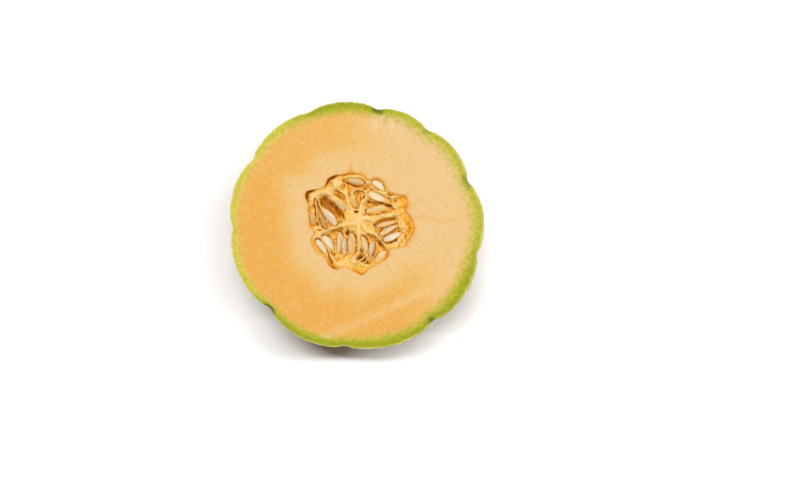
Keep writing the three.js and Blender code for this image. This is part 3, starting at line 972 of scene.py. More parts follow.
@dataclass
class Flesh(Piece):
    """The orange flesh: a level cut face between the rind and the seed cavity, and the cavity's wall.

    edge_ring is the first ring's share of the face, so thin that the rind's edge stays crisp. lip is how
    round the cavity's edge is. vein and knife are the ways that a stain and a knife's drag take.
    """

    form: MelonForm
    cavity: Cavity
    columns: int = 540
    face_rows: int = 60
    outer_rows: int = 8
    edge_ring: float = 0.0004
    lip: float = 0.35
    vein: Path = ((36, 6), (42, 3.5), (48, 2), (56, 3))
    knife: Path = ((-19, -63), (5, -53), (34, -39.5), (40, -36.5))

    def rind_edge(self, turn: Array) -> tuple[Array, Array]:
        """Where rays from the hub meet the rind.

        Args:
            turn: the rays' angles about the hub, in degrees.

        Returns:
            The places from the hub, and their angles about the melon's middle.
        """
        angle = np.linspace(0, 360, 2881)[:-1]
        edge = self.form.inner(angle, np.zeros_like(angle))[:, :2] - HUB
        seen = np.degrees(np.arctan2(edge[:, 1], edge[:, 0])) % 360
        order = np.argsort(seen)
        out = np.stack([np.interp(turn, seen[order], edge[order, i], period=360) for i in (0, 1)], -1)
        middle = np.degrees(np.arctan2(*(out + HUB).T[::-1])) % 360
        return out, middle

    def marks(self, spots: Array, wall: Array) -> tuple[Array, Array]:
        """Orange stains and pale scars on the cut face.

        The stains are a spike that stands over the cavity, a thin uneven line along its edge, short rays
        out of it and a vein. The scars are a knife's long shallow drag and short nicks near the rind.

        Args:
            spots: places on the face.
            wall: distance of each from the cavity's edge.

        Returns:
            The two strengths, each from 0 to 1.
        """
        flat = raised(spots)
        x, y = spots[..., 0], spots[..., 1]
        spike = bell(x + 2.9, blend(2.0, 0.5, rise(28, 37, y))) * rise(39.5, 30, y) * rise(24, 28, y)
        turn = np.degrees(np.arctan2(*(spots - HUB).T[::-1])).T
        side = np.cos(np.radians(turn))
        glow = np.clip(side, 0, 1) + bell(turn - 95, 30)
        line = bell(wall, blend(0.3, 1.1 + 1.0 * glow, Noise.fractal(flat, 5, 2, 31)))
        line = line * (0.2 + 0.5 * Noise.fractal(flat, 7, 2, 32) + 0.4 * glow)
        ray = Noise.fractal(np.stack([turn * 0.55, 0 * turn, 0 * turn], -1), 2.2, 3, 33)
        ray = rise(0.5, 0.76, ray) * np.exp(-np.maximum(wall, 0) / 4.2)
        ray = ray * np.clip(side + bell(turn - 97, 14), 0.15, 1)
        vein = bell(distance_to(spots, self.vein), 1.2)
        stain = np.clip(0.75 * spike + 0.8 * line + 0.55 * ray + 0.26 * vein, 0, 1)
        rough = 0.2 + 1.6 * Noise.fractal(flat, 3, 3, 34)
        drag = bell(distance_to(spots, self.knife), 2.4)
        along = np.stack([x - 0.12 * y, y * 0.16, 0 * x], -1)
        nick = rise(0.5, 0.66, Noise.fractal(along, 1.7, 2, 35)) * Spot(17, 57.6, 8, 5.2, -12, 1).mask(spots)
        return stain, np.clip(0.27 * drag * rough + 0.7 * nick, 0, 1)

    def shape(self) -> Shape:
        """The flesh, from its rounded end up against the rind, across the cut and down the cavity.

        Returns:
            The shape, with depth, wall, stain and scar for the material.
        """
        turn = np.arange(self.columns) * 360 / self.columns
        out, angle = self.rind_edge(turn)
        drops = np.linspace(self.form.inner_end, 0, self.outer_rows + 1)[:-1, None]
        under = self.form.inner(np.broadcast_to(angle, (self.outer_rows, self.columns)), drops)
        radius = self.cavity.radius(turn)
        reach = np.linalg.norm(out, axis=-1)
        shares = np.insert(np.linspace(0, 1, self.face_rows) ** 0.9, 1, self.edge_ring)[:, None]
        across = blend(reach, radius + self.lip, shares)
        bend = np.radians(np.linspace(18, 90, 5))[:, None]
        lip_way = radius + self.lip * (1 - np.sin(bend))
        lip_height = -self.lip * (1 - np.cos(bend)) + 0 * lip_way
        fall = np.radians(np.concatenate([np.linspace(2, 14, 7), np.linspace(25, 80, 5)]))[:, None]
        deep_way = blend(radius, np.mean(radius), fall / (np.pi / 2)) * np.cos(fall)
        deep_height = -self.lip - self.cavity.depth * np.sin(fall) + 0 * deep_way
        ways = np.concatenate([across, lip_way, deep_way])
        heights = np.concatenate([0 * across, lip_height, deep_height])
        inner = raised(ways[..., None] * turned(turn) + HUB, heights)
        depth = 1 + (reach - ways) / self.form.thickness(angle)
        wall = np.where(heights < -self.lip, heights, ways - radius)
        stain, scar = self.marks(inner[..., :2], ways - radius)
        bands = (under, inner)
        return Shape.shell(
            np.concatenate(bands),
            (self.form.inner_foot(), [*HUB, -self.cavity.depth - self.lip]),
            depth=(over(bands, 1, depth), 1, 9),
            wall=(over(bands, 30, wall), 30, -40),
            stain=(over(bands, 0, stain), 0, 0),
            scar=(over(bands, 0, scar), 0, 0),
        )


# ---------------------------------------------------------------- pulp


@dataclass(frozen=True)
class Chamber:
    """An egg-shaped pit in the pulp.

    angle and way place its middle from the hub, heading is the direction of its broad end, half and wide
    are half its length and half its width, and floor is its depth.
    """

    angle: float
    way: float
    heading: float
    half: float
    wide: float
    floor: float = 7.5

    def inward(self, spots: Array) -> Array:
        """How far out each spot is.

        Along the egg the coordinate is the distance over half its length, and across it the distance over
        half its width, which is 0.95 and 0.3 times the first coordinate of the full one.

        Args:
            spots: places from the hub.

        Returns:
            The length of the two coordinates, from 0 in the egg's middle to 1 at its edge.
        """
        offset = spots - turned(self.angle) * self.way
        along = offset @ turned(self.heading) / self.half
        width = self.wide * np.clip(0.95 + 0.3 * along, 0.4, 1.3)
        return np.hypot(along, offset @ turned(self.heading + 90) / width)


@dataclass(frozen=True)
class Membrane:
    """A pale wall, fold or crease of the pulp: its path from the hub, its half width and its height."""

    path: Path
    width: float
    crest: float

    def mask(self, spots: Array, power: int) -> Array:
        """1 on the path, falling as e to the power of minus the distance over the width to this power."""
        return bell(distance_to(spots, self.path), self.width, power)


@dataclass(frozen=True)
class Spot:
    """A round lump or hole: its place from the hub, its size along and across, its turn and its height."""

    x: float
    y: float
    along: float
    across: float
    turn: float
    height: float

    def mask(self, spots: Array) -> Array:
        """The lump's strength, which falls as e to the power of minus the squared distance over its size.

        Args:
            spots: places from the hub.

        Returns:
            The strength, 1 in its middle.
        """
        offset = spots - [self.x, self.y]
        ahead, side = offset @ turned(self.turn), offset @ turned(self.turn + 90)
        return bell(np.hypot(ahead / self.along, side / self.across))


@dataclass(frozen=True)
class Parting:
    """A gap where the pulp has come away from the flesh: where it is, how far it runs, depth and width."""

    angle: float
    run: float
    depth: float
    width: float

    def mask(self, turn: Array, rim: Array) -> Array:
        """1 in its middle at the cavity's edge, falling along the edge and with the distance from it."""
        return bell(between(turn, self.angle), self.run, 4) * bell(rim, self.width)


@dataclass(frozen=True)
class Strand:
    """A loose thread of pulp: its path from the hub as x, y and height, its thickness and its shade."""

    path: Path
    thickness: float
    shade: float


@dataclass(frozen=True)
class Seed:
    """A seed: its rooted end and its blunt end from the hub, and how it lies.

    width is its own width, level the height of its middle, roll its turn about its length, drop how much
    lower its blunt end lies than its root, brown how dull it is, and veil the share of its length that a
    film of pulp covers at the root. walls says how far the pulp stands against it on the left and on the
    right of the way from root to tip, from 0, an open gap, to 1, and hood how much of its sides is covered.
    bow and sway are how far its middle line curves, and clearance how far its crown stays under the cut.
    """

    root: tuple[float, float]
    tip: tuple[float, float]
    width: float = 5.0
    level: float = -2.4
    roll: float = 20
    drop: float = 0.0
    brown: float = 0.1
    veil: float = 0.12
    walls: tuple[float, float] = (0.4, 0.4)
    hood: float = 0.0
    thickness: float = 2.3
    bow: float = 0.35
    sway: float = 0.45
    clearance: float = 0.6

    def section(self) -> tuple[float, float, float, float]:
        """Half its width and half its thickness, and the sine and the cosine of its roll."""
        roll = np.radians(self.roll)
        return self.width / 2, self.thickness / 2, np.sin(roll), np.cos(roll)

    def shown(self) -> float:
        """Half of the width that it shows from above."""
        a, b, sine, cosine = self.section()
        return np.hypot(a * cosine, b * sine)

    def middle(self) -> float:
        """The height of its middle, low enough that its crown stays under the cut."""
        a, b, sine, cosine = self.section()
        crown = np.hypot((a * a - b * b) * sine * cosine, a * b) / self.shown()
        return min(self.level, -self.clearance - crown - self.bow * cosine)

    @staticmethod
    def outline(share: Array) -> Array:
        """Its width over its greatest: the share of its length to the 0.7 times the rest to the 0.42."""
        return share**0.7 * (1 - share) ** 0.42 / 0.523

    def line(self, share: Array) -> tuple[Array, Array]:
        """Its middle line, which bows up from its flat and to one side as half a wave.

        Args:
            share: the share of its length from the root.

        Returns:
            How far the line lies to the left of the straight way, and its height.
        """
        wave, (_, _, sine, cosine) = np.sin(np.pi * share), self.section()
        sway, bow = self.sway * np.sin(3.1 * self.tip[0] + self.tip[1]) * wave, self.bow * wave
        height = self.middle() + self.drop * (0.5 - share) + sway * sine + bow * cosine
        return sway * cosine - bow * sine, height

    def top(self, share: Array, side: Array) -> tuple[Array, Array]:
        """Its upper side, as the top of an ellipse turned about its middle line.

        With the half width a, the half thickness b, the sine s and the cosine c of the roll, and side from
        -1 to 1 across what it shows, the edge is side times (a squared - b squared) times s times c, and the
        crown is a times b times the root of 1 minus the side squared, both over what it shows.

        Args:
            share: the share of its length from the root.
            side: the place across it, from -1 to 1.

        Returns:
            The height of its edge line and of its top.
        """
        a, b, sine, cosine = self.section()
        scale = self.outline(share) / self.shown()
        edge = self.line(share)[1] + scale * side * (a * a - b * b) * sine * cosine
        return edge, edge + scale * a * b * np.sqrt(1 - side**2)


# Anticlockwise from the right: right, upper right, a pocket, top, upper left, left, lower left, lower right.
CHAMBERS = each(
    Chamber,
    (343, 19.9, 12, 9.7, 7, 6), (34, 15.8, 8, 9.2, 6, 6.5), (61, 22, 329, 5.4, 3.1, 4),
    (94, 15.4, 92, 8.2, 4.8, 5.5), (129, 18.2, 124, 8.4, 3.9, 4.5), (170, 18.2, 152, 9.6, 8.2),
    (229, 18.9, 262, 9.7, 9.9, 6), (289, 18.6, 268, 9.6, 7, 6),
)
MEMBRANES = each(
    Membrane,
    (((-1.5, -1.5), (-5.4, -3), (-10.2, -3.9), (-15.1, -4.9), (-19, -6.9), (-24.9, -5.4)), 1.1, -0.35),
    (((-3.4, 2.4), (-6.8, 4.8), (-9.3, 7.3), (-12.2, 10.2), (-15.6, 13.1), (-17.5, 15.1)), 1.7, -0.8),
    (((-2.9, 2.9), (-4.6, 7.3), (-5.4, 11.6), (-7.3, 15.1), (-11.2, 17)), 0.8, -0.5),
    (((-3.4, 7.3), (-4.4, 13.1), (-2.4, 16.5), (0.5, 17), (3.9, 16.3)), 0.7, -0.4),
    (((5.8, 16), (3.4, 11.2), (1.5, 7.3), (0.7, 2.9)), 1.3, -0.35),
    (((2.9, 0.7), (8.3, 0.7), (14.1, 1.7), (20, 2.4), (24.4, 2.9)), 1.4, -0.35),
    (((2.9, -3.5), (5.4, -6.9), (8.3, -7.8), (11.2, -9.3), (12.7, -12.2), (15.1, -14.7), (19.5, -14.7)),
     1, -0.4),
    (((0, -2.5), (0.5, -7.4), (1.1, -12.2), (0.5, -16.6), (-0.5, -20), (-2.9, -22.5)), 1.3, -0.35),
    (((-20.5, -20.3), (-17.1, -18.6), (-15.1, -21.5), (-12.2, -24.4), (-9.3, -26.6), (-6.3, -26.1),
      (-2.9, -23.7), (0.5, -23.7), (3.4, -25.9), (6.3, -26.4), (10.7, -24.7), (14.1, -22.2), (16.8, -18.6),
      (16.6, -16.1)), 1, -0.3),
    (((-22.4, -8.8), (-25.1, -10.3), (-25.7, -13.2), (-23.9, -17.1), (-20.5, -20.3)), 0.9, -0.5),
    (((7.8, 22.4), (6.8, 19.9), (9.5, 17), (13.2, 15.5), (16.6, 15.1), (16.9, 18), (13.6, 21.9),
      (10.2, 23.9), (7.8, 22.4)), 0.8, -0.3),
    (((-17.5, 15.1), (-14.1, 17), (-11.2, 19.4), (-9.3, 22.4), (-11.2, 24.3)), 2.2, -0.7),
    (((5.8, 16), (9.7, 15.8), (14.1, 14.6), (17.5, 13.1), (20, 12.1)), 0.8, -0.4),
    (((20, 12.1), (22.4, 9.2), (24.4, 5.3), (24.4, 2.9), (24.9, -0.5), (26.3, -4.9), (24.9, -9.8),
      (21.9, -13.7)), 1.8, -0.6),
    (((-26.5, 12.5), (-24, 15.2), (-20.5, 14.5), (-17.5, 15.1)), 2, -0.4),
    (((14.4, 10), (17.2, 9.9), (19.2, 8.4), (20.8, 6.8)), 0.8, -0.3),
    (((-21.8, -8.4), (-19.9, -12.2), (-16.9, -17.2)), 0.5, -0.8),
    (((-16.9, -17.2), (-15.2, -21), (-12.4, -25.4)), 0.6, -0.4),
    (((-9.3, 22.4), (-6.4, 24.6), (-1, 25), (3, 23.6), (5.6, 20.6)), 0.8, -0.4),
    (((21.4, -5.6), (24, -5.2), (25.8, -3.6)), 0.5, -0.4),
    (((22, -9.2), (24.6, -9.4), (26, -7.4)), 0.5, -0.4),
    (((9.4, -24), (9.2, -20.4), (11.6, -16.6)), 0.4, -0.9),
    (((-25.6, 13.2), (-26.6, 9.4), (-26.7, 4.6), (-26.1, 0.6)), 0.6, -0.8),
    (((-24, 13), (-23.8, 9.2), (-23.3, 4), (-21.8, -3)), 0.8, -0.6),
    (((-22.6, 13), (-21.7, 9), (-20.9, 6), (-19.3, 2.4)), 0.8, -0.6),
)
CREASES = each(
    Membrane,
    (((9, -3.2), (11.4, -1.6), (15.2, -0.3), (20.4, 0.6)), 0.8, -3.6),
    (((5.4, 10), (9.4, 9.2), (13.6, 9.4)), 0.5, -4.2),
    (((-16.9, -19), (-16.4, -21.8), (-15, -25)), 0.6, -3.4),
    (((-14.2, -8), (-12.6, -6.4), (-9.4, -5.3)), 0.6, -2.8),
    (((-24.4, 12), (-24.6, 8.6), (-24, 4.2)), 0.4, -2.8),
    (((-22.9, 10.6), (-22.6, 7.4), (-20.2, 1), (-17.2, -4.2)), 0.4, -3.4),
    (((15.4, -4.2), (18.8, -3.3), (22.4, -2.6)), 0.4, -3),
    (((14.8, -9.6), (18, -6.6), (22.6, -5)), 0.5, -3.6),
    (((13.8, -12), (16.4, -13.6), (21.6, -11.4)), 0.6, -3.4),
)
LUMPS = each(
    Spot,
    (0, 0, 4.6, 3.8, 60, -0.2), (-24.6, 13.6, 3.6, 2.6, 55, -0.15), (-12.2, 21.4, 3.6, 2.6, 45, -0.15),
    (0.5, -27, 4.6, 2.6, 0, -1.2), (-6, 1.6, 3, 2, 60, -0.7), (-9, -23.6, 4.4, 2, 8, -0.9),
    (22, 6, 2.4, 3.4, 0, -0.5), (23.5, -2.5, 2, 2.6, 0, -0.5),
)
HOLES = each(
    Spot,
    (-16.4, 8.4, 5.6, 2.6, -40, -6.5), (-12.4, 4.6, 3.4, 1.5, -56, -7), (-9.2, 1.8, 1.8, 0.7, -58, -5),
    (-6.2, -7.9, 1.4, 1.2, 90, -5.5), (-12.6, -6.4, 2.2, 0.6, 24, -3.2), (2.2, -21.8, 2, 1.3, -30, -6.5),
    (4.6, -23.4, 1.6, 0.9, -30, -6.5), (8.6, -10.6, 2.6, 0.9, -25, -2.6),
    (12.2, -14.2, 2.2, 1.1, -34, -4.8), (10.2, -16.6, 1.2, 2, 10, -3.4), (13.2, -16.2, 1.8, 0.8, 0, -2.6),
    (17, 8, 1.9, 0.9, -14, -5), (19, 5.8, 2.6, 1.1, -10, -3.2), (-1.2, 4.9, 1, 0.7, 0, -3.8),
    (3.7, 17.3, 0.6, 1.6, -40, -3.6), (1.9, 12.6, 0.5, 2, -36, -3.4), (5.4, 3.2, 1.5, 0.7, -20, -2.6),
    (-2.4, 20, 5.2, 0.8, -12, -4.5), (1.6, 18.8, 2.4, 1.2, -24, -3.4), (-10.6, 12.6, 3, 1.1, -42, -3.8),
    (-11.6, 15.6, 2.2, 1, -20, -3), (-8, 18.6, 1.6, 1, 0, -2.6), (-1, 11.6, 0.8, 1.8, 0, -3),
    (-1.6, -17.2, 3.6, 0.6, 66, -3.4), (17.8, 13.6, 2, 0.6, -12, -3), (21.4, 10.4, 1.4, 0.7, -30, -2.2),
    (-27, -4, 2.4, 0.8, -70, -2.4), (-21.6, -6.6, 1.4, 0.6, 0, -3), (-25.6, -8, 1.2, 0.6, -10, -2.6),
    (27, -8.4, 0.7, 2, 12, -2.4), (22.8, -14.8, 0.6, 1.6, -24, -2.4), (25.2, -11.6, 0.6, 1.4, -20, -2),
)
AMBER = each(
    Spot,
    (26.4, 6.4, 3.2, 8, 0, 1.6), (30.4, -4, 2.6, 7, 0, 1.9), (1, -28, 6, 3, 0, 1),
    (-15.6, -25, 4.6, 2.6, -30, 1), (-8.4, 4.4, 4, 2, -48, 1), (-5.4, 18, 2.4, 1.6, -40, 1),
    (-6.6, 1.4, 3, 1.6, 60, 1), (14.6, -0.4, 6.6, 1.4, 10, 0.9), (-27, 2, 1.4, 8, 0, 0.9),
    (10.4, -11.6, 3.4, 1.6, -40, 0.8), (-25.6, -13.4, 2, 6, 20, 0.9), (-11.6, -5.8, 5.6, 1.4, 22, 0.8),
    (-3.4, -8.4, 1.4, 4, 0, 0.8), (-10, -22.6, 2.4, 1.6, 0, 0.8), (3.6, 22, 1.6, 2.4, 0, 0.9),
    (7.6, 19, 1.4, 4, -20, 0.7), (17, -20, 1.4, 4, -50, 0.9), (16.2, -15, 3, 1.4, 20, 0.8),
)
PARTINGS = each(
    Parting,
    (153.5, 7, 4, 1.6), (125, 9.5, 3.4, 1.2), (104, 14, 0.8, 0.9), (176, 12, 0.6, 0.8), (214, 14, 0.4, 0.8),
    (241, 6.5, 2.2, 1.3), (272, 10, 1.3, 1.2), (352, 16, 0.2, 1.4), (18, 12, 0.2, 1.5), (308, 8, 0.6, 0.8),
)
STRANDS = each(
    Strand,
    (((-0.8, -24.2, -1.8), (1.6, -22.9, -0.8), (4.4, -20.4, -1.6)), 0.8, 0),
    (((2.2, -25.6, -1.8), (4.6, -23.8, -0.8), (6.4, -20.9, -1.8)), 0.8, 0),
    (((0.8, -25, -1.6), (3.4, -24.6, -1), (6.2, -23.2, -1.8)), 0.6, 0.05),
    (((7.4, -25.6, -1.6), (8.4, -23.2, -1), (7.8, -20.4, -1.8)), 0.6, 0.1),
    (((-16.9, -16.6, -1.6), (-15.6, -20.4, -0.6), (-12.8, -24.8, -1)), 1.2, 0.05),
    (((-4.8, 12.6, -1.6), (-3.6, 16.2, -0.5), (-0.6, 17.6, -0.5), (3.2, 17, -1.2)), 0.9, 0.08),
)
SEEDS: dict[str, tuple[Seed, ...]] = {
    "left": each(
        Seed,
        ((-26.4, 6.8), (-25, -2.8), 4.8, -1.8, 58, 0.6, 0.16, 0.3, (0.5, 0.6), 0.2),
        ((-22.6, 5.6), (-17.9, -5.2), 5, -2.2, 60, 0.8, 0.36, 0.1, (0.2, 0)),
        ((-20.6, 7), (-12.4, -3), 5.6, -1.9, 22, 0.6, 0.06, 0.04, (0.1, 0)),
    ),
    "upper_left": each(
        Seed,
        ((-15.1, 13.1), (-7.4, 5.4), 5, -1.7, 42, 0.8, 0.1, 0.52, (0.7, 0.2), 0.3),
    ),
    "top": each(
        Seed,
        ((-7.6, 22.9), (3.4, 20.9), 4.8, -1.8, 38, 0.2, 0.26, 0.34, (0.9, 0), 0.45),
        ((-3.4, 14.4), (-0.8, 7), 4.8, -1.9, 34, 1.6, 0.5, 0.5, (0.6, 0.2), 0.5),
    ),
    "pocket": each(
        Seed,
        ((15.7, 15.9), (8.1, 22.4), 5.4, -1.4, 14, 0.2, 0.14, 0.06, (0, 0.8)),
    ),
    "upper_right": each(
        Seed,
        ((16.4, 10.4), (5.6, 15.4), 5.8, -1.7, 18, 0.3, 0.16, 0.12, (0.2, 0.9)),
        ((16.8, 6.7), (4.6, 4.6), 5.4, -2.4, -24, 0.4, 0.28, 0.4, (0.5, 0.1), 0.75),
    ),
    "right": each(
        Seed,
        ((22.6, -0.9), (10.4, -4.2), 5, -2, 50, 0.4, 0.26, 0.12, (0.3, 0)),
        ((22.8, -3.2), (12.2, -8.9), 5.2, -2.2, 42, 0.4, 0.24, 0.16, (0, 0.2), 0.15),
        ((24.6, -7.4), (14.4, -11.8), 5.2, -1.6, 32, 0.2, 0, 0.04, (0, 0)),
        ((21.5, -5.6), (11.5, -5.2), 5, -5.8, 0, 0.5, 0.8),
    ),
    "lower_right": each(
        Seed,
        ((4.9, -20.2), (2.2, -9.4), 5, -2, 46, 0.3, 0.24, 0.2, (0.7, 0.2), 0.3),
        ((6.4, -21.8), (8.4, -12.4), 4.8, -1.7, 52, -0.2, 0.12, 0.1, (0.1, 0)),
        ((9, -25), (16.2, -18), 5.6, -1.8, 28, 0.2, 0.2, 0.08, (0.1, 0.5)),
    ),
    "lower_left": each(
        Seed,
        ((-17.4, -20.3), (-23.7, -11.3), 5, -1.6, 44, 0.2, 0, 0.02, (0, 0)),
        ((-13.9, -17.8), (-19.9, -9.2), 5.4, -1.6, 34, 0.2, 0, 0.02, (0.9, 0.3), 0.35),
        ((-11.6, -20.2), (-10.6, -6.9), 5.2, -2.2, 46, 0.5, 0.26, 0.3, (0.5, 0.1), 0.1),
        ((-8, -21.8), (-8, -10.4), 4.6, -1.6, 56, 0.3, 0.08, 0.2, (0.1, 0)),
        ((-5, -21.6), (-3.8, -7.6), 5.6, -2.2, 34, 0.5, 0.46, 0.22, (0.3, 0.7), 0.1),
        ((-13.5, -20.5), (-15, -9.5), 5, -5.8, 10, 0.5, 0.8),
    ),
}


@dataclass(frozen=True)
class Relief:
    """A square grid over the cavity, on which fields are softened and read back at any spot."""

    reach: float = 35.0
    step: float = 0.2

    def spots(self) -> Array:
        """The grid's points from the hub."""
        line = np.arange(-self.reach, self.reach + self.step / 2, self.step)
        return np.stack(np.meshgrid(line, line, indexing="ij"), -1)

    def soften(self, values: Array, size: float) -> Array:
        """Spreads a field out: each of its waves is damped by e to the minus twice the square of pi times
        the size over the wave's length.

        Args:
            values: a field on the grid.
            size: how far it is spread, in millimetres.

        Returns:
            The softer field.
        """
        waves = np.fft.fftfreq(values.shape[0], self.step)[:, None] ** 2
        waves = waves + np.fft.rfftfreq(values.shape[1], self.step)[None] ** 2
        damping = np.exp(-2 * (np.pi * size) ** 2 * waves)
        return np.fft.irfft2(np.fft.rfft2(values) * damping, s=values.shape)

    def read(self, values: Array, spots: Array) -> Array:
        """A field between the grid's points, blended from the four round each spot.

        Args:
            values: a field on the grid.
            spots: where it is wanted.

        Returns:
            The field there.
        """
        place = (spots + self.reach) / self.step
        low = np.floor(place).astype(int)
        share = place - low
        near = [values[low[..., 0] + i, low[..., 1] + j] for i in (0, 1) for j in (0, 1)]
        left, right = (blend(*near[i : i + 2], share[..., 1]) for i in (0, 2))
        return blend(left, right, share[..., 0])


@dataclass
class Pulp(Piece):
    """The pulp's upper surface: a hub, walls and folds round open chambers, over a hidden plug.

    Seeds whose level is under loose lie free on a chamber's floor, with no pulp round them. joint is the
    pulp's height where it meets the flesh, span its lowest and its highest point, and slack how far the
    plug stands back from the cavity's wall.
    """

    cavity: Cavity
    columns: int = 500
    rings: int = 176
    loose: float = -4
    joint: float = -0.18
    span: tuple[float, float] = (-11, -0.12)
    slack: float = 0.2
    relief: Relief = Relief()

    def folds(self, spots: Array) -> tuple[Array, Array]:
        """Folds that run outwards from the hub, and shreds that run anywhere.

        Both are sharp crests, one minus the distance of a fractal noise from its middle. The folds' noise
        is stretched along the radius, and bent by a slower noise.

        Args:
            spots: places from the hub.

        Returns:
            The two fields, each from 0 in a crease to 1 on a crest.
        """
        way = np.linalg.norm(spots, axis=-1)
        flat = raised(spots)
        radial = raised(spots / np.maximum(way, 0.5)[..., None] * 15, 0.3 * way) + 0.25 * flat
        radial = radial + 1.1 * (Noise.fractal(flat, 4, 2, 81)[..., None] - 0.5)
        noises = Noise.fractal(radial, 1.9, 3, 80), Noise.fractal(flat, 1.9, 3, 90)
        along, anyway = ((1 - np.abs(2 * noise - 1)) ** 1.4 for noise in noises)
        return along, anyway

    def sheaths(self, spots: Array, height: Array) -> tuple[Array, Array, Array, Array, Array]:
        """Beds each seed in the pulp, with walls, open gaps and films that lap over it.

        In the seed's outline the pulp lies below its edge line, and close to the outline it laps up on to
        the seed. Outside it the pulp is drawn to the edge line where there is a wall and 0.8 mm below it
        where there is a gap. A film over the root, and over the sides of a hooded seed, lies 0.15 mm above
        it and dips into it at its torn edge.

        Args:
            spots: places from the hub.
            height: the pulp's height there.

        Returns:
            The new height, the films' height, and where the walls and films, the gaps and the beds are.
        """
        uneven = Noise.fractal(raised(spots), 2.2, 3, 97)
        wall, gaps, bed, cover = 0 * height, 0 * height, 0 * height, height - 99
        for seed in (seed for bunch in SEEDS.values() for seed in bunch if seed.level > self.loose):
            way = np.subtract(seed.tip, seed.root)
            length = np.linalg.norm(way)
            ahead = way / length
            offset = spots - seed.root
            place = offset @ ahead / length
            share = np.clip(place, 0.003, 0.997)
            aside = offset @ [-ahead[1], ahead[0]] - seed.line(share)[0]
            reach = seed.shown() * seed.outline(share)
            side = np.clip(aside / np.maximum(reach, 0.2), -1, 1)
            gap = np.maximum(np.abs(aside) - reach, np.abs(place - share) * length)
            edge, top = seed.top(share, side)
            near = rise(-0.1, 0.3, gap) * (1 - bed)
            stands = blend(*seed.walls[::-1], rise(-0.6, 0.6, aside)) + 1.5 * (uneven - 0.5)
            stands = np.maximum(rise(0.25, 0.65, stands), rise(seed.veil + 0.1, seed.veil - 0.1, share))
            lip = np.minimum(edge + 0.2 + 1.2 * (uneven - 0.4), -0.3)
            ring = near * rise(1.5, 0.6, gap) * stands
            slit = near * rise(1.0, 0.3, gap) * (1 - stands)
            height = blend(height, lip, 0.95 * ring)
            height = blend(height, np.minimum(height, edge - 0.8), slit)
            inside = rise(0.25, -0.1, gap)
            film = rise(seed.veil + 0.05, seed.veil - 0.05, share + 0.45 * (uneven - 0.5))
            hood = 1 - 1.1 * seed.hood + 0.9 * (uneven - 0.5)
            film = np.maximum(film, rise(hood, hood + 0.25, np.abs(side - 0.3 * np.sign(seed.roll))))
            lap = np.maximum(film, rise(0.84, 0.95, np.abs(side)) * stands)
            rest = blend(edge - 0.5, top + 0.12, lap)
            height = blend(height, np.where(bed > 0.5, np.minimum(height, rest), rest), inside)
            film = film * inside
            cover = np.maximum(cover, np.where(film > 0.02, top + 0.15 - 0.6 * (1 - film), -99))
            wall = np.maximum(wall * (1 - inside), np.maximum(0.5 * ring, film))
            gaps = np.maximum(gaps * (1 - inside), slit)
            bed = np.maximum(bed, inside)
        return height, cover, wall, gaps, bed

    def surface(self) -> tuple[Array, Array, Array]:
        """Height, painted shade and amber of the pulp on the relief's grid.

        The height starts just under the cut and is drawn in turn towards each chamber's floor, each seed's
        sheath, each membrane's crest, each lump, each hole and each crease, by the share that its mask
        gives. Folds and shreds are added, and the films over the seeds come last. A spot that lies below
        its softened surroundings is in a crease, and is given painted shade; so are holes, creases, gaps,
        the folds' low lines and the beds under the seeds.

        Returns:
            Height in millimetres, painted shade from 0 on crests to 1 in creases, and amber from 0 to 1.
        """
        spots = self.relief.spots()
        flat = raised(spots)
        wander = Noise.sway(flat, 3.2, 70, axes=2)
        bent = spots + 1.2 * wander
        height = -1.0 + 0.9 * (Noise.fractal(flat, 5, 3, 72) - 0.5)
        for chamber in CHAMBERS:
            inward = chamber.inward(bent)
            floor = -0.62 * chamber.floor + 1.4 * inward**2
            height = blend(height, floor, rise(1.15, 0.85, inward))
        height, cover, wall, gaps, bed = self.sheaths(spots, height)
        pale, hollow = 0.5 * wall, 0.15 * gaps
        for membrane in MEMBRANES:
            mask = membrane.mask(bent, 3) * (1 - 0.8 * bed) * (1 - 0.6 * gaps)
            height = blend(height, membrane.crest, mask)
            pale = np.maximum(pale, mask)
        for lump in LUMPS:
            mask = lump.mask(bent) * (1 - 0.75 * bed)
            height = blend(height, lump.height, mask)
            pale = np.maximum(pale, 0.9 * mask)
        # Holes and creases are sunk into the height, and hollow also carries painted shade into them.
        for hole in HOLES:
            mask = hole.mask(spots + 2.4 * wander) * (1 - bed)
            height = blend(height, np.minimum(hole.height, height), mask)
            hollow = np.maximum(hollow, mask * np.clip(-hole.height / 6, 0, 1))
        for crease in CREASES:
            mask = crease.mask(spots + 0.8 * wander, 2) * (1 - bed)
            height = blend(height, np.minimum(crease.crest, height), mask)
            hollow = np.maximum(hollow, 0.55 * mask)
        calm = rise(4, 13, np.linalg.norm(spots, axis=-1))
        along, anyway = (blend(0.68, fold, 0.06 + 0.94 * calm) for fold in self.folds(spots))
        ragged = rise(17, 22, spots[..., 0]) * rise(-3, -9, spots[..., 1])
        quiet = (1 - 0.96 * bed) * (1 - 0.75 * hollow)
        height = height + quiet * (1.1 * (along - 0.68) + (0.4 + 1.6 * ragged) * (anyway - 0.68))
        height = np.minimum(np.maximum(height, cover), -0.1)
        # Painted shade: a spot below its softened surroundings, in a crease, is painted darker, and a deeper
        # one a little darker too.
        fine, broad = (self.relief.soften(height, size) - height for size in (0.55, 1.9))
        shade = 0.27 + 0.42 * np.clip(fine, -0.7, 1) + 0.13 * np.clip(broad, -1.2, 3) - 0.03 * (height + 1)
        # More painted shade in holes, creases and gaps and on the beds under the seeds; membranes, lumps and
        # walls are lighter in their own pale colour.
        shade = shade - 0.2 * pale * (1 - hollow) + 0.27 * hollow + 0.06 * bed * (1 - wall)
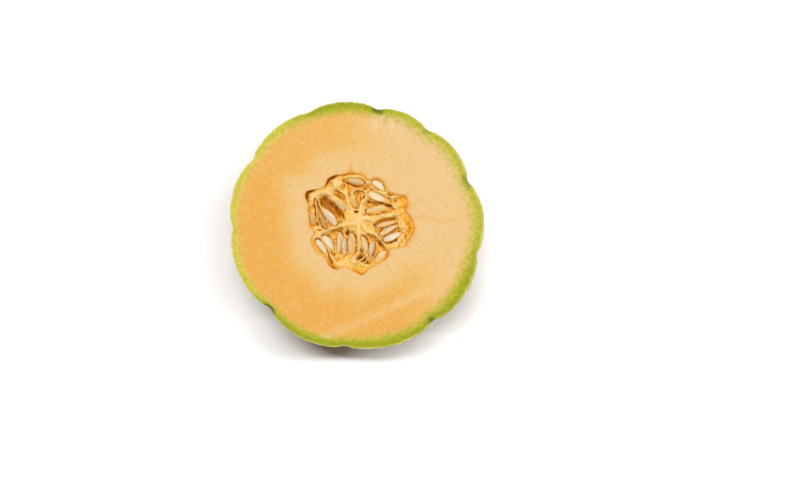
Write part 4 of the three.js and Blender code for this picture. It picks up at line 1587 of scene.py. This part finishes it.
        # Painted shade along the folds' creases, lighter on their crests.
        shade = shade + (1 - 0.7 * hollow) * (0.3 * (0.66 - along) + 0.22 * (0.66 - anyway))
        # Amber is the pulp's own golden tint, and it also deepens where the painted shade is dark.
        amber = (0.25 * Noise.fractal(flat, 4, 2, 95) + 0.3 * rise(0.3, 0.6, shade)) * (1 - 0.4 * pale)
        for spot in AMBER:
            amber = np.maximum(amber, spot.height * spot.mask(bent))
        return height, np.clip(shade, 0, 1), np.clip(amber, 0, 1)

    def shape(self) -> Shape:
        """The pulp, from the bottom of its plug up the outside and in over the top to the hub.

        Returns:
            The shape, with painted shade and amber for the material.
        """
        turn = np.arange(self.columns) * 360 / self.columns
        edge = self.cavity.radius(turn)
        way = np.linspace(1, 0, self.rings + 1)[:-1, None] * edge
        spots = turned(turn) * way[..., None]
        height, shade, amber = (self.relief.read(field, spots) for field in self.surface())
        rim = edge - way
        # Joined to the flesh, but for a fine uneven seam and the gaps. The seam's crease gets painted shade.
        joined = bell(rim, 1.6)
        seam = bell(rim, 0.7) * rise(0.4, 0.75, Noise.fractal(raised(spots), 4, 2, 96))
        height = blend(height, self.joint, 0.85 * joined) - 0.25 * seam
        shade = blend(shade, 0.3, 0.6 * joined) + 0.25 * seam
        amber = np.maximum(amber, 0.6 * bell(rim, 1.1))
        # Each parting is sunk into the height and painted darker and amber: a painted shadow in the gap.
        for parting in PARTINGS:
            mask = parting.mask(turn, rim)
            height = height - parting.depth * mask
            shade = shade + 0.17 * parting.depth * mask
            amber = np.maximum(amber, mask)
        height = np.clip(height, *self.span)
        fall = np.radians(np.linspace(84, 18, 9))[:, None]
        out = (blend(edge, np.mean(edge), fall / (np.pi / 2)) - self.slack) * np.cos(fall)
        plug = raised(out[..., None] * turned(turn) + HUB, -self.cavity.depth * np.sin(fall))
        bands = (plug, raised(spots + HUB, height))
        return Shape.shell(
            np.concatenate(bands),
            ([*HUB, -self.cavity.depth], [*HUB, height[-1].mean()]),
            shade=(over(bands, 0.7, np.clip(shade, 0, 1)), 0.7, 0.2),
            amber=(over(bands, 0.7, amber), 0.7, 0),
        )


# ---------------------------------------------------------------- seeds and strands


@dataclass
class SeedBunch(Piece):
    """The seeds of one chamber."""

    seeds: tuple[Seed, ...]
    steps: int = 22
    sides: int = 24
    ceiling: float = -0.25

    def body(self, seed: Seed) -> Shape:
        """A seed, with how near each point is to its rim or root, which browns it and paints shade on its
        sides.

        Round it, the cosine to the 0.9 is its width and the sine its thickness, times its outline, so that
        it has a low crown and a thin rim, and both are turned by its roll about its middle line.

        Args:
            seed: the seed to make.

        Returns:
            Its shape, with its points from the hub.
        """
        share = (0.5 - 0.5 * np.cos(np.linspace(0.12, np.pi - 0.12, self.steps)))[:, None]
        around = np.arange(self.sides)[None] * 2 * np.pi / self.sides
        half_width, half_thickness, sine, cosine = seed.section()
        side = np.sign(np.cos(around)) * np.abs(np.cos(around)) ** 0.9
        wide = seed.outline(share) * side * half_width
        thick = seed.outline(share) * np.sin(around) * half_thickness
        shift, height = seed.line(share)
        shift = shift + wide * cosine - thick * sine
        height = height + wide * sine + thick * cosine
        way = np.subtract(seed.tip, seed.root)
        aside = np.array([-way[1], way[0]]) / np.linalg.norm(way)
        loops = raised(seed.root + share[..., None] * way + shift[..., None] * aside, height)
        # rim: the seed's dullness, a browner root, and darker sides that are partly its beige edge and partly
        # painted shade.
        rim = seed.brown + 0.65 * np.abs(side) ** 3 + 0.5 * rise(0.25, 0.0, share)
        return Shape.shell(loops, (loops[0].mean(0), loops[-1].mean(0)), rim=(rim, rim[0, 0], rim[-1, 0]))

    def shape(self) -> Shape:
        """All the seeds."""
        return Shape.bunch([self.body(seed) for seed in self.seeds], self.ceiling)


@dataclass
class Strands(Piece):
    """Loose threads of pulp over the chambers, whose ends sink into it."""

    steps: int = 30
    sides: int = 8
    amber: float = 0.15
    ceiling: float = -0.05

    def tube(self, strand: Strand) -> Shape:
        """A thread: circles carried along its smoothed path, thinner towards both ends.

        Args:
            strand: the thread to make.

        Returns:
            Its shape, with its points from the hub.
        """
        chain = rounded(strand.path, times=4)
        length = np.append(0, np.cumsum(np.linalg.norm(np.diff(chain, axis=0), axis=1)))
        share = np.linspace(0, 1, self.steps)
        spine = np.stack([np.interp(share * length[-1], length, chain[:, i]) for i in range(3)], -1)
        spine = spine + 0.9 * Noise.sway(spine, 2.2, 61)
        swell = 0.6 + 0.8 * Noise.smooth(spine, 1.8, 64)
        ahead = np.gradient(spine, axis=0)
        ahead /= np.linalg.norm(ahead, axis=1, keepdims=True)
        aside = np.cross(ahead, [0, 0, 1])
        aside /= np.linalg.norm(aside, axis=1, keepdims=True)
        around = turned(np.arange(self.sides) * 360 / self.sides)
        radius = strand.thickness / 2 * swell * (0.15 + 0.85 * np.sin(np.pi * share) ** 0.7)
        ring = around @ np.stack([aside, np.cross(ahead, aside)], 1)
        loops = spine[:, None] + radius[:, None, None] * ring
        looks = {"shade": strand.shade, "amber": self.amber}
        values = {name: (np.full(loops.shape[:2], look), look, look) for name, look in looks.items()}
        return Shape.shell(loops, (loops[0].mean(0), loops[-1].mean(0)), **values)

    def shape(self) -> Shape:
        """All the threads."""
        return Shape.bunch([self.tube(strand) for strand in STRANDS], self.ceiling)


# ---------------------------------------------------------------- the studio


class Lamp(Enum):
    """A kind of soft light: a round one that is far off, or a long box."""

    SUN = "SUN"
    BOX = "AREA"


@dataclass
class Studio:
    """A pale floor, soft light and a camera that looks down on the cut face.

    The camera is distance millimetres from the cut face and leans by lean degrees, towards the angle
    lean_towards. offset is how far right and up of its frame's middle the face is, in millimetres. sky is
    the strength of the even light from all round, which the camera sees as white. A light box is
    box_breadth metres broad and box_distance metres off, and the floor is floor_size metres wide.
    """

    focal: float = 90.0
    sensor: float = 36.0
    distance: float = 1130.0
    lean: float = 3.5
    lean_towards: float = -50.0
    offset: tuple[float, float] = (-24.7908, 13.6972)
    sky: float = 0.02
    floor_size: float = 6
    box_breadth: float = 0.36
    box_distance: float = 8

    @staticmethod
    def facing(way: Vector) -> Matrix:
        """The turn of a thing whose back points along a way, with its top towards the frame's top."""
        right = Vector((0, 1, 0)).cross(way).normalized()
        return Matrix((right, way.cross(right), way)).transposed()

    def hang(self, data: object, way: Vector, place: Vector) -> Object:
        """Puts a light or a camera into the scene.

        Args:
            data: the light or the camera.
            way: the way that its back points.
            place: where it is, in metres.

        Returns:
            The object that holds it.
        """
        holder = bpy.data.objects.new(data.name, data)
        holder.matrix_world = Matrix.Translation(place) @ self.facing(way).to_4x4()
        bpy.context.scene.collection.objects.link(holder)
        return holder

    def floor(self) -> None:
        """A wide, faintly warm white floor."""
        bpy.ops.mesh.primitive_plane_add(size=self.floor_size)
        plane = bpy.context.object
        plane.name = "floor"
        material = bpy.data.materials.new("floor_white")
        material.use_nodes = True
        sheet = Sheet(material.node_tree)
        constants = {"Base Color": (0.99, 0.985, 0.98, 1), "Roughness": 0.8, "Specular IOR Level": 0.2}
        sheet.feed(sheet.tree.nodes["Principled BSDF"], constants)
        plane.data.materials.append(material)

    def lamp(self, name: str, kind: Lamp, aim: tuple[float, ...], size: float, power: float) -> None:
        """A light.

        Args:
            name: its name.
            kind: its kind.
            aim: the way to it.
            size: a sun's width in degrees, as seen from the melon, or a box's length in metres.
            power: a sun's in watts on a square metre, or a box's in watts.
        """
        lamp = bpy.data.lights.new(name, kind.value)
        lamp.energy = power
        if kind is Lamp.SUN:
            lamp.angle = np.radians(size)
        else:
            lamp.shape = "RECTANGLE"
            lamp.size, lamp.size_y = size, self.box_breadth
        way = Vector(aim).normalized()
        self.hang(lamp, way, way * self.box_distance)

    def camera(self) -> None:
        """The camera, above the cut face."""
        lean, (east, north) = np.radians(self.lean), turned(self.lean_towards)
        away = Vector((np.sin(lean) * east, np.sin(lean) * north, np.cos(lean)))
        right, up, _ = self.facing(away).transposed()
        slide = right * -self.offset[0] + up * -self.offset[1]
        view = bpy.data.cameras.new("camera")
        view.lens, view.sensor_width, view.clip_start = self.focal, self.sensor, 0.01
        place = (Vector((0, 0, HEIGHT)) + away * self.distance + slide) * MM
        bpy.context.scene.camera = self.hang(view, away, place)

    def build(self) -> None:
        """Sets up the floor, the lights, the sky and the camera."""
        self.floor()
        self.lamp("strip", Lamp.BOX, (0.0, 0.092, 1.0), 2.4, 360)
        self.lamp("side_strip", Lamp.BOX, (0.4, 0.092, 1.0), 3.6, 287)
        self.lamp("fill", Lamp.SUN, (-0.27, 1.05, 1.0), 34, 0.98)
        self.lamp("low", Lamp.SUN, (-1.3, -0.3, 1.0), 20, 0.14)
        world = bpy.data.worlds.new("studio")
        world.use_nodes = True
        sheet = Sheet(world.node_tree)
        seen = sheet.add("LightPath", {}, "Is Camera Ray")
        looks = {"Strength": seen * (1 - self.sky) + self.sky, "Color": (1, 1, 1, 1)}
        sheet.feed(sheet.tree.nodes["Background"], looks)
        bpy.context.scene.world = world
        bpy.context.scene.view_settings.view_transform = "Standard"
        self.camera()


def main() -> None:
    """Builds the melon half piece by piece, then the studio."""
    logging.basicConfig(level=logging.INFO, format="%(message)s")
    form, cavity = MelonForm(), Cavity()
    mottle = mottle_group()
    cut = cut_group(mottle)
    pulp, seed = pulp_material(mottle), seed_material(mottle)
    Rind(form).build("rind", "rind", rind_material(cut, mottle))
    Flesh(form, cavity).build("flesh", "flesh", flesh_material(cut))
    Pulp(cavity).build("seed_pulp", "pulp", pulp)
    Strands().build("pulp_strands", "pulp", pulp, solid=False)
    for chamber, seeds in SEEDS.items():
        SeedBunch(seeds).build(f"seeds_{chamber}", "seeds", seed)
    Studio().build()


if __name__ == "__main__":
    main()
